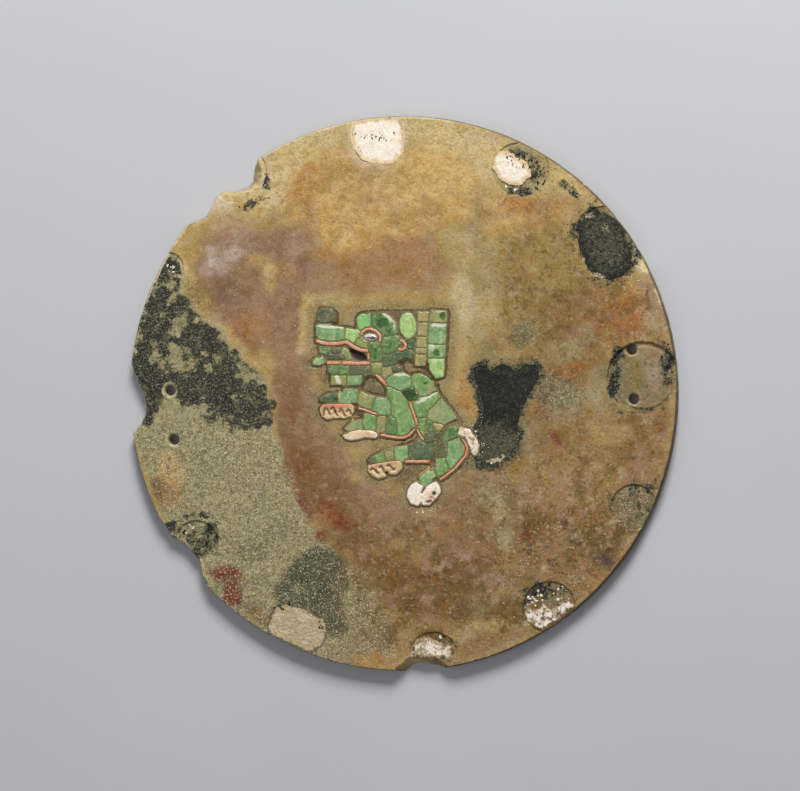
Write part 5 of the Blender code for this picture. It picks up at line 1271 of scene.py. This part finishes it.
def crowned(edge, top, wear, seed, tilt=0.012, dents=0.05):
    """Height of an inlaid piece: level, with a quarter-ellipse shoulder along its edge, a slight crown over its
    whole width, a slight tilt, shallow dents, and chips along the shoulder."""
    across = np.ptp(edge, axis=0)
    middle = edge.mean(axis=0)
    lean = np.random.default_rng(seed).uniform(-tilt, tilt, 2)
    widest = 2.0 * abs(area_inside(edge)) / length_round(edge)
    shoulder = min(wear, 0.7 * widest)

    def height(x, y):
        points = np.column_stack((x, y))
        depth = np.maximum(inside(points, [edge]), 0.0)
        t = np.clip(1.0 - depth / shoulder, 0.0, 1.0)
        drop = 0.75 * shoulder * (1.0 - np.sqrt(1.0 - 0.98 * t**2))
        drop += 0.16 * (1.0 - np.clip(depth / widest, 0.0, 1.0)) ** 2
        drop += dents * (1.0 + ripple(x, y, 1.6, seed + 5))
        chips = eased(ripple(x, y, 1.3, seed + 9, 2), 0.35, 0.8) * faded(depth, 0.0, 0.7)
        slant = (points - middle) @ lean
        return top - drop - 0.25 * chips - (slant + np.abs(lean) @ across / 2.0)

    return height


def nearest_green(middle):
    """The name of the green whose listed point lies nearest."""
    return min(GREEN_AT, key=lambda name: min(np.hypot(*(np.array(p) - middle)) for p in GREEN_AT[name]))


def inlays():
    """The outlines of all inlaid pieces by node, cut above the feet that join the tiles of a cluster."""
    nodes = [n for n in sorted(NODES) if any(kind in n for kind in ("tile", "shell", "paw", "lens"))]

    def place(loop):
        return tuple(np.round(loop.mean(axis=0), 1))

    return {n: sorted(section(n, ABOVE_INLAY_FEET), key=place) for n in nodes if not n.startswith("seat")}


def tile_outline(loop, most, tiles, shells, field):
    """A tile's outline, laid as the setter did: grown in steps of at most 0.4 mm until it nearly meets the next
    tile, strip or stone, so that its corners fill the corners left for them, then worn a little."""
    edge = spaced(loop, 0.3)
    for _ in range(10):
        grown = np.maximum(-inside(edge, [loop]), 0.0)
        room = np.minimum(most - grown, -inside(edge, shells) - 0.27)
        room = np.minimum(room, inside(edge, field) - FIELD_GAP)
        room = np.minimum(room, nearest(edge, CHANNEL[:-1], CHANNEL[1:]) - CHANNEL_GAP)
        if tiles:
            room = np.minimum(room, 0.5 * (-inside(edge, tiles) - grown) - 0.5 * TILE_GAP)
        step = np.clip(room, 0.0, 0.4)
        if step.max() < 0.04:
            break
        moved = pushed(edge, step)
        edge = spaced(moved[-inside(moved, [edge]) > 0.7 * step - 0.01], 0.3)
    worn = pushed(edge, -0.4)
    worn = spaced(worn[inside(worn, [edge]) > 0.34], 0.27)
    return softened(widened(worn, 0.36, 0.27), 0.5, 0.27)


# The line of the open channel of mastic beside the hind leg, which no tile grows into.
CHANNEL = np.array([
    (31, -15), (26.3, -13.6), (22.4, -15.6), (20.4, -18.4), (19.4, -22), (18.2, -26), (17, -29.6),
    (15.2, -33.4),
])
# How far a tile may grow: a little in front of the headdress, somewhat where bare mastic shows, and elsewhere.
FRONT = "headdress_front"
BARE_ROUND = ("horn", "ear_tile", "headdress", "crown", "chin", "lip", "teeth")
FRONT_GROWTH = 0.35
SPARE_GROWTH = 0.6
MOST_GROWTH = 3.0
TILE_GAP = 0.16
FIELD_GAP = 1.25
CHANNEL_GAP = 0.8
NEIGHBOURS = 6.5


def tiles(greens):
    """The green stone tiles, each its own piece."""
    outlines = inlays()
    shells = [loop for node, loops in outlines.items() if "tile" not in node for loop in loops]
    stones = {node: loops for node, loops in outlines.items() if "tile" in node}
    every = [loop for loops in stones.values() for loop in loops]
    field = field_outlines()
    for node, loops in stones.items():
        most = SPARE_GROWTH if node.startswith(BARE_ROUND) else MOST_GROWTH
        most, rough = (FRONT_GROWTH, 0.32) if node.startswith(FRONT) else (most, 0.07)
        for number, loop in enumerate(loops):
            close = [other for other in every if other is not loop and near_boxes(loop, other)]
            strips = [other for other in shells if near_boxes(loop, other)] or shells
            edge = tile_outline(loop, most, close, strips, field)
            seed = 100 + len(PIECES)
            edge = pushed(edge, rough * ripple(*edge.T, 1.5, seed, 2))
            PIECES.append(edge)
            raised(node + "_stone" + (f"_{number + 1}" if len(loops) > 1 else ""), edge,
                   crowned(edge, TILE_TOP, 0.45, seed), INLAY_BASE, 0.34, seed,
                   greens[nearest_green(edge.mean(axis=0))], node, inlay_masks(edge))


def near_boxes(one, other):
    gap = np.maximum(one.min(0) - other.max(0), other.min(0) - one.max(0))
    return np.all(gap < NEIGHBOURS)


# The outlines of the inlaid pieces made so far; their number also seeds the next one's noise.
PIECES = []


def shells(coral, tan, white):
    """The shell strips with their rounded backs, and the paws with the cuts between their claws."""
    finishes = {"coral_shell": coral, "tan_shell": tan, "white_shell": white}
    for node, loops in inlays().items():
        if "tile" in node or node == "eye_lens":
            continue
        seed = 300 + len(PIECES)
        paw = "paw" in node or node == "heel_shell"
        edge = widened(softened(loops[0], 0.8, 0.28), 0.48 if paw else 0.14, 0.28)
        rough = {"heel_shell": 0.75, "hind_leg_back_paw": 0.26}.get(node, 0.12 if paw else 0.05)
        edge = pushed(edge, rough * ripple(*edge.T, 1.4 + rough, seed))
        PIECES.append(edge)
        finish = finishes[SLOTS[node]]
        if paw:
            cuts = claw_cuts(node, loops[0])
            raised(node + "_carved", edge, clawed(edge, cuts, seed), INLAY_BASE, 0.22, seed, finish, node,
                   paw_masks(edge, cuts))
        else:
            raised(node + "_strip", edge, crowned(edge, SHELL_TOP, 0.6, seed, 0.004, 0.03), INLAY_BASE, 0.26,
                   seed, finish, node, inlay_masks(edge))


def claw_cuts(node, outline):
    """The cuts between a paw's claws, as the steps of a low section that lie well inside its outline."""
    loops = section(node, FOOT_OF_CLAW_CUTS)
    starts, stops = np.vstack(loops), np.vstack([np.roll(loop, -1, 0) for loop in loops])
    cut = np.minimum(inside(starts, [outline]), inside(stops, [outline])) > 0.08
    return starts[cut], stops[cut]


def clawed(edge, cuts, seed):
    """Height of a paw: crowned, with a rounded cut 0.8 mm wide along each claw."""
    plain = crowned(edge, PAW_TOP, 0.9, seed, 0.006, 0.07)

    def height(x, y):
        level = plain(x, y)
        if len(cuts[0]):
            far = nearest(np.column_stack((x, y)), *cuts)
            level = level - 0.55 * faded(far, 0.05, 0.5) - 0.4 * faded(far, 0.2, 1.3)
        return np.maximum(level, FACE - 0.35)

    return height


def paw_masks(edge, cuts):
    """Masks of a paw: those of an inlaid piece, with painted shade down in its cuts and a painted highlight on
    its claws' tops between them.
    """
    plain = inlay_masks(edge)

    def paint(x, y):
        masks = plain(x, y)
        masks["seam"] *= 0.45
        masks["fading"] = mask(x, y, FADED, 1.0, 0.6)
        masks["crumbly"] = mask(x, y, CRUMBLED, 1.0, 0.6)
        if len(cuts[0]):
            far = nearest(np.column_stack((x, y)), *cuts)
            # Painted shade down in the cuts.
            masks["cut"] = faded(far, 0.08, 0.5)
            # Painted highlight on the claws' rounded tops between the cuts.
            between = 0.36 * eased(far, 0.35, 0.8) * faded(far, 0.9, 1.8)
            masks["pale"] = np.maximum(masks["pale"], between)
        return masks

    return paint


def eye(finish):
    """The lens: a dome whose height follows the square root of the distance in from its edge."""
    edge = softened(section("eye_lens", ABOVE_INLAY_FEET)[0], 0.6, 0.25)
    PIECES.append(edge)
    pupil = [(-15.0, 26.9, 2.3, 0.42, -8, 1.0), (-13.6, 27.1, 0.9, 0.8, 0, 0.9)]

    def dome(x, y):
        share = np.clip(depth_in(edge, x, y) / 1.7, 0.0, 1.0)
        return FACE + 0.1 + (EYE_TOP - FACE - 0.12) * np.sqrt(share)

    raised("eye_lens_polished", edge, dome, INLAY_BASE, 0.22, 77, finish, "eye_lens",
           lambda x, y: {"deep": mask(x, y, pupil, 0.15, 0.4)})


def deepest_in(edges, points):
    """How far each point lies inside the pieces, negative outside them, and -9 far from all of them."""
    depths = np.full(len(points), -9.0)
    for edge in edges:
        near = np.all((points > edge.min(0) - 1.5) & (points < edge.max(0) + 1.5), axis=1)
        depths[near] = np.maximum(depths[near], inside(points[near], [edge]))
    return depths


def mastic(finish):
    """The mastic as one body: just under the face between the inlays, sunk along the field's edge, and down
    on its bed beneath each inlay."""
    loops = [spaced(loop, 0.42) for loop in field_outlines()]
    crowd = honeycomb(loops[0].min(0), loops[0].max(0), 0.42, 45)
    edges = [(spaced(edge, 0.4), off) for edge in PIECES for off in (-0.2, 0.03)]
    seams = np.vstack([pushed(line, off) for line, off in edges])
    crowd = np.vstack((seams, crowd[np.abs(deepest_in(PIECES, crowd) + 0.05) > 0.26]))
    crowd = thinned(crowd[inside(crowd, loops) > 0.2], 0.1)
    ranges = spans(loops)
    plan = np.vstack((*loops, crowd))
    x, y = plan.T
    to_edge = inside(plan, loops)
    in_piece = deepest_in(PIECES, plan)
    level = 7.02 + 0.14 * ripple(x, y, 2.6, 91) + 0.07 * ripple(x, y, 0.9, 92, 2)
    dusted = mask(x, y, DUSTED, 1.0, 0.4)
    beside_piece = faded(-in_piece, 0.1, 0.9)
    narrow = faded(-in_piece, 0.1, 0.45) * eased(to_edge, 0.6, 1.6)
    level += (0.16 + 0.22 * eased(to_edge, 0.3, 1.6) + 0.45 * dusted) * beside_piece + 0.12 * narrow
    level -= (0.16 + 0.16 * ripple(x, y, 5.0, 93, 2)) * faded(to_edge, 0.0, 0.9) * (1.0 - 0.8 * dusted)
    level -= 1.3 * mask(x, y, [(*MOUTH, 4.6, 1.7, -30, 1.0)], 0.3, 0.3)
    level -= 0.35 * mask(x, y, [(-15, -12.2, 9, 1.4, -8, 1.0), (4, -24.6, 9, 1.6, -4, 1.0)], 0.3, 0.4)
    height = np.where(in_piece > 0.1, np.minimum(level, BED), level)
    ring = np.vstack(loops)
    under = np.column_stack((ring, np.full(len(ring), MASTIC_BASE)))
    vertices = np.vstack((np.column_stack((plan, height)), under))
    faces = triangulated(plan, ranges).tolist()
    for span in ranges:
        faces += walled(span, span + len(plan))
    faces += (triangulated(ring, ranges)[:, ::-1] + len(plan)).tolist()
    x, y, _ = vertices.T
    dusted = mask(x, y, DUSTED, 1.0, 0.4)
    # Painted shade on the mastic along the field's edge, less where pale earth has silted.
    hollow = 1.1 * faded(inside(vertices[:, :2], loops), 0.3, 1.6)
    hollow *= (0.75 + 0.5 * ripple(x, y, 6.0, 97)) * (1.0 - 0.9 * dusted)
    # Painted shadow in the open mouth.
    gape = mask(x, y, [(*MOUTH, 5.0, 2.0, -30, 1.0)], 0.3, 0.4)
    piece("mastic_bed", vertices, faces, finish, "mastic", ("figure_mastic",), 50.0,
          hollow=np.maximum(hollow, gape), gape=gape, crack=cracked(x, y), dusted=dusted,
          filled=np.concatenate((narrow, np.zeros(len(ring)))))


MASTIC_BASE = 4.3
MOUTH = (-21.5, 18.6)
# Where pale earth has silted the edge of the field: round the paws, the heel and the tip of each foot.
DUSTED = [
    (-16, -24, 14, 4.6, -4, 0.9), (-10, -40, 12, 4.6, 0, 0.9), (10, -52, 13, 10, 0, 1.0),
    (34, -24, 8, 12, 30, 0.9), (-34, -12, 11, 3.4, 0, 0.5), (8, -36, 9, 5, 0, 0.7), (-41, 15, 4, 5, 0, 0.5),
    (24, -36, 8, 4, 40, 0.6), (-24, -20, 6, 5, 0, 0.6), (20, -45, 4, 8, 0, 0.8),
]
# Open seams that orange earth has filled.
CRACKS = [
    ((-30.4, 1.2), (-30.7, -3.4)), ((1.6, 8.4), (4.0, 1.6), (9.0, 0.4), (16.0, 5.6)),
    ((4.6, -3.6), (12.0, -1.6)), ((13.0, -5.0), (17.6, -11.0), (19.0, -15.6)),
    ((10.6, -13.4), (12.4, -17.8), (14.6, -21.6)), ((5.6, -27.4), (7.6, -23.6)),
    ((21.6, -20.0), (20.6, -28.0), (17.4, -34.4)), ((9.0, -39.6), (15.4, -34.6)),
    ((-11.2, 18.6), (-10.8, 12.4)), ((-24.4, -11.4), (-22.0, -16.8)), ((1.6, -12.0), (6.4, -14.4)),
]


def cracked(x, y):
    """1 along the filled seams, eased away within half a millimetre of their bent lines."""
    points = np.column_stack((x, y)) + 0.5 * sway(x, y, 2.2, 95, 2)
    lines = [np.array(line, float) for line in CRACKS]
    starts, stops = np.vstack([line[:-1] for line in lines]), np.vstack([line[1:] for line in lines])
    return faded(nearest(points, starts, stops), 0.15, 0.7)


# What is left in each seat and in the tail's bed: how rough its face is, how ragged and how far grown its edge,
# how far the edge dips, and how crumbly it is.
REMAINS = {
    "tail_adhesive": (0.2, 1.3, 0.7, 0.12, 0.0),
    "seat_03_adhesive": (0.3, 1.6, 0.9, 0.12, 0.0),
    "seat_08_fill": (0.18, 1.0, 0.9, -0.1, 0.1),
    "seat_01_shell": (0.08, 1.2, 2.3, -0.12, 0.14),
    "seat_02_shell": (0.16, 1.8, 1.1, 0.1, 0.24),
    "seat_06_shell": (0.26, 1.8, 1.3, 0.3, 0.95),
    "seat_07_shell": (0.24, 1.8, 0.9, 0.4, 0.8),
}
PALE_REMAINS = [
    (46, -32.6, 4, 0.9, 10, 0.9), (38.6, -24.6, 1.6, 0.8, 0, 0.9), (50, -30.6, 1.2, 0.8, 0, 0.8),
    (88, 64, 2, 5, 20, 0.7), (96, 56, 5, 2, -20, 0.7), (92, 86, 3, 2, 0, 0.5), (100, 80, 2, 2, 0, 0.4),
]


def remains(adhesive, fill, white):
    """What is left in the rim seats and in the tail's bed: rough, level with the face, with ragged edges."""
    shore = section("stone_disc", BELOW_SEATS)[:1]
    finishes = {"tail_adhesive": adhesive, "seat_03_adhesive": adhesive, "seat_08_fill": fill}
    for node, (rough, ragged, growth, dip, crumbly) in REMAINS.items():
        seed = 500 + sum(map(ord, node))
        edge = widened(softened(section(node, THROUGH_REMAINS)[0], 1.2, 0.5), growth, 0.5)
        edge = pushed(edge, ragged * (ripple(*edge.T, 2.6, seed, 4) - 0.2))
        for _ in range(4):
            edge += (edge.mean(axis=0) - edge) * (0.09 * np.clip(0.7 - inside(edge, shore), 0.0, 1.0))[:, None]
        edge = softened(edge, 0.7, 0.45)

        def height(x, y):
            level = FACE - 0.1 + rough * (ripple(x, y, 2.4, seed + 1, 4) - 0.35)
            level += 0.5 * rough * ripple(x, y, 0.8, seed + 2, 2)
            return level - dip * faded(depth_in(edge, x, y), 0.0, 1.4)

        def paint(x, y):
            depth = depth_in(edge, x, y)
            return {
                "pale": mask(x, y, PALE_REMAINS, 0.8),
                "dusted": 0.04 + 0.9 * mask(x, y, [(46, -27, 18, 11, 0, 1.0), (100, 72, 9, 14, 18, 0.8)], 2.0),
                "seam": faded(depth, 0.0, 2.4) * (node in SEAMED),
                "crumbly": np.full(len(x), crumbly) + (crumbly > 0.12) * 0.4 * faded(depth, 0.3, 2.4),
                "fading": faded(depth, 0.1, 3.4),
            }

        raised(node + "_rough", edge, height, REMAINS_BASE, 0.42, seed, finishes.get(node, white), node, paint)


REMAINS_BASE = 6.1
SEAMED = ("seat_08_fill", "seat_06_shell")
# Loose crumbs: x, y, half widths, turn, how many, widest, and the height of the ground under them.
WHITE_CRUMBS = [
    (46, -32.6, 5, 1.2, 10, 8, 1.0, 7.0), (38.4, -24.6, 2.4, 1.4, 0, 5, 0.9, 7.0),
    (34, -19, 3.6, 2.4, -40, 8, 0.9, 7.1), (41, -27, 2.0, 3, 0, 4, 0.6, 7.0),
    (-14, -22.8, 6, 1.4, 0, 14, 0.9, 6.8), (66, -98, 7, 5, 0, 12, 1.8, 6.2), (78, -97, 5, 4, 0, 8, 1.6, 6.2),
    (63, -105, 4, 7, 0, 14, 1.8, 6.2), (18, -121, 9, 3, 0, 12, 1.6, 6.2), (5, -124, 4, 4, 0, 8, 1.8, 6.2),
    (54, 102, 8, 4, 0, 8, 1.2, 6.2), (-114, 61, 2.6, 2, 0, 6, 1.3, 6.4), (104, -61, 2, 6, 40, 6, 1.2, 6.4),
    (117.6, 67, 1.6, 10, 25, 48, 1.4, 7.02), (36.8, -26, 2.0, 6.0, 24, 26, 0.9, 7.05),
    (33, -16, 2.4, 1.6, 0, 8, 0.7, 7.1), (11.6, -57.0, 4, 1.2, 6, 12, 1.0, 6.95),
    (-51, -96, 3, 3, 0, 5, 0.7, 7.0), (-106, -66, 5, 3, 0, 8, 1.2, 6.3), (112, 54, 5, 2.4, 10, 6, 0.9, 6.9),
]
BLACK_CRUMBS = [
    (-14, 124.5, 9, 1.3, -8, 22, 1.0, 7.05), (-7, 127, 4, 2, 0, 5, 0.8, 7.05),
    (-18, 119, 3, 2, 0, 5, 0.8, 7.05), (57, 112, 6, 2.4, -24, 26, 1.1, 7.0),
    (62, 113, 7, 3, -30, 32, 1.5, 6.5), (68, 102, 3, 8, 0, 30, 1.4, 6.6), (58, 96, 8, 2, 0, 18, 1.2, 6.5),
    (-66.4, 101, 1.8, 6, 6, 16, 0.9, 7.0), (-74, 92.4, 7, 2.2, 24, 22, 0.9, 7.0),
    (104, 8, 1.6, 13, 0, 22, 1.3, 6.7), (130, 14, 2.6, 10, 0, 24, 1.5, 6.9),
    (-112, -66, 5, 2.6, -30, 24, 1.4, 6.8), (-94, -70, 2.6, 6, 0, 22, 1.3, 6.8),
    (84.5, 72, 2, 12, 10, 16, 1.1, 6.95), (103, 53, 8, 2, 10, 14, 1.1, 6.95),
    (44, -34, 11, 2.4, 0, 16, 1.0, 6.95), (72, -94, 9, 4, 0, 30, 1.6, 6.2), (14, -119, 9, 2, 0, 18, 1.4, 6.2),
    (-104, -76, 8, 4, 20, 26, 1.3, 6.2), (114, -50, 8, 4, 0, 18, 1.3, 6.2),
    (-58, -104, 8, 1.6, 10, 16, 1.4, 6.95), (-39, -110, 1.6, 7, 0, 12, 1.4, 6.95),
]


FLATNESS = 0.34


def crumbs(name, places, finish, slot):
    """Loose crumbs in one mesh: flattened lumps strewn at random in ellipses, each an icosahedron made uneven,
    no two alike, and none nearer than 0.8 mm to the disc's edge."""
    shore = section("stone_disc", BELOW_SEATS)[:1]
    bpy.ops.mesh.primitive_ico_sphere_add(subdivisions=1, radius=1.0)
    model = bpy.context.active_object
    ball = np.array([corner.co[:] for corner in model.data.vertices])
    sides = np.array([face.vertices[:] for face in model.data.polygons])
    bpy.data.objects.remove(model)
    rng = np.random.default_rng(sum(map(ord, name)))
    vertices, faces, total = [], [], 0
    for cx, cy, wide, high, turn, many, widest, ground in places:
        far, way = np.sqrt(rng.uniform(0, 1, many)) * 1.1, rng.uniform(0, 2.0 * math.pi, many)
        u, v = rotated(wide * far * np.cos(way), high * far * np.sin(way), math.radians(turn))
        size = widest * 0.5 * rng.uniform(0.3, 1.0, (many, 1, 1)) * rng.uniform(0.6, 1.3, (many, 1, 3))
        size = size * (1, 1, FLATNESS)
        uneven = 1.0 + 0.34 * rng.uniform(-1, 1, (many, len(ball), 1))
        lumps = ball[None] * uneven * size
        x, y = rotated(lumps[:, :, 0], lumps[:, :, 1], rng.uniform(0, 2.0 * math.pi, (many, 1)))
        x, y = x + (cx + u)[:, None], y + (cy + v)[:, None]
        keep = inside(np.column_stack((x.mean(axis=1), y.mean(axis=1))), shore) > 0.8
        lumps = np.stack((x, y, lumps[:, :, 2] + ground), axis=2)[keep]
        vertices.append(lumps.reshape(-1, 3))
        faces.append((sides[None] + total + np.arange(len(lumps))[:, None, None] * len(ball)).reshape(-1, 3))
        total += len(lumps) * len(ball)
    vertices = np.vstack(vertices)
    masks = {"fading": ripple(*vertices[:, :2].T, 5.0, 81, 2) * 0.6} if slot == "white_shell" else {}
    piece(name, vertices, np.vstack(faces).tolist(), finish, slot, (), 60.0, **masks)


# ---------------------------------------------------------------- the setting


# A long lens that looks at the face from the right of straight above, a little off its centre.
DISTANCE = 3.5
TILT = math.radians(9.94)
LOOKED_AT = (-0.00064, -0.00102)
WIDTH_SEEN = 388.24 * MM
FILM = 36.0

# Lamps: power, size, place.
LAMPS = {"key": (33.0, 0.6, (0.25, 1.25, 1.0)), "fill": (5.0, 1.6, (-0.9, -0.5, 1.6))}
FLOOR_HALF = 4.0
BELOW_PART = -0.00005


def setting():
    """A pale floor, soft light from beyond the animal's head, and a long lens that looks down on the face."""
    floor = bpy.data.meshes.new("floor")
    corners = [(x * FLOOR_HALF, y * FLOOR_HALF, BELOW_PART) for x, y in ((-1, -1), (1, -1), (1, 1), (-1, 1))]
    floor.from_pydata(corners, [], [(0, 1, 2, 3)])
    paper = Finish("floor_paper", 0.9)
    floor.materials.append(paper.done(paper.varied(tone(196, 196, 198), 400.0, 90.0, 0.01)["Color"]))
    placed("floor", floor)
    for name, (power, size, place) in LAMPS.items():
        light = bpy.data.lights.new(name, "AREA")
        light.energy, light.size = power, size
        lamp = placed(name, light, place)
        lamp.rotation_euler = (-Vector(place)).to_track_quat("-Z", "Y").to_euler()
    world = bpy.data.worlds.new("studio")
    world.use_nodes = True
    background = world.node_tree.nodes["Background"].inputs
    background["Color"].default_value = (0.9, 0.92, 1.0, 1.0)
    background["Strength"].default_value = 0.27
    bpy.context.scene.world = world
    bpy.context.scene.view_settings.view_transform = "Standard"
    camera = bpy.data.cameras.new("camera")
    camera.lens = FILM * DISTANCE / WIDTH_SEEN
    camera.clip_end = 20.0
    x, y = LOOKED_AT
    seen = placed("camera", camera, (x + DISTANCE * math.sin(TILT), y, FACE * MM + DISTANCE * math.cos(TILT)))
    seen.rotation_euler = (0.0, TILT, 0.0)
    bpy.context.scene.camera = seen


def placed(name, data, place=(0.0, 0.0, 0.0)):
    """A new object in the scene."""
    made = bpy.data.objects.new(name, data)
    made.location = place
    bpy.context.scene.collection.objects.link(made)
    return made


def main():
    setting()
    disc()
    greens = {name: green_finish(name, *looks) for name, looks in GREENS.items()}
    coral = shell_finish("coral", (212, 148, 112), (234, 188, 156), (150, 96, 66), 0.35)
    tan = shell_finish("tan", (200, 168, 118), (228, 204, 160), (140, 104, 62), 0.5)
    white = shell_finish("white", (242, 228, 206), (252, 248, 238), (186, 154, 118), 0.6)
    tiles(greens)
    shells(coral, tan, white)
    eye(eye_finish())
    mastic(mastic_finish())
    adhesive = adhesive_finish()
    remains(adhesive, fill_finish(), white)
    crumbs("pale_crumbs", WHITE_CRUMBS, white, "white_shell")
    crumbs("black_crumbs", BLACK_CRUMBS, adhesive, "adhesive")


main()
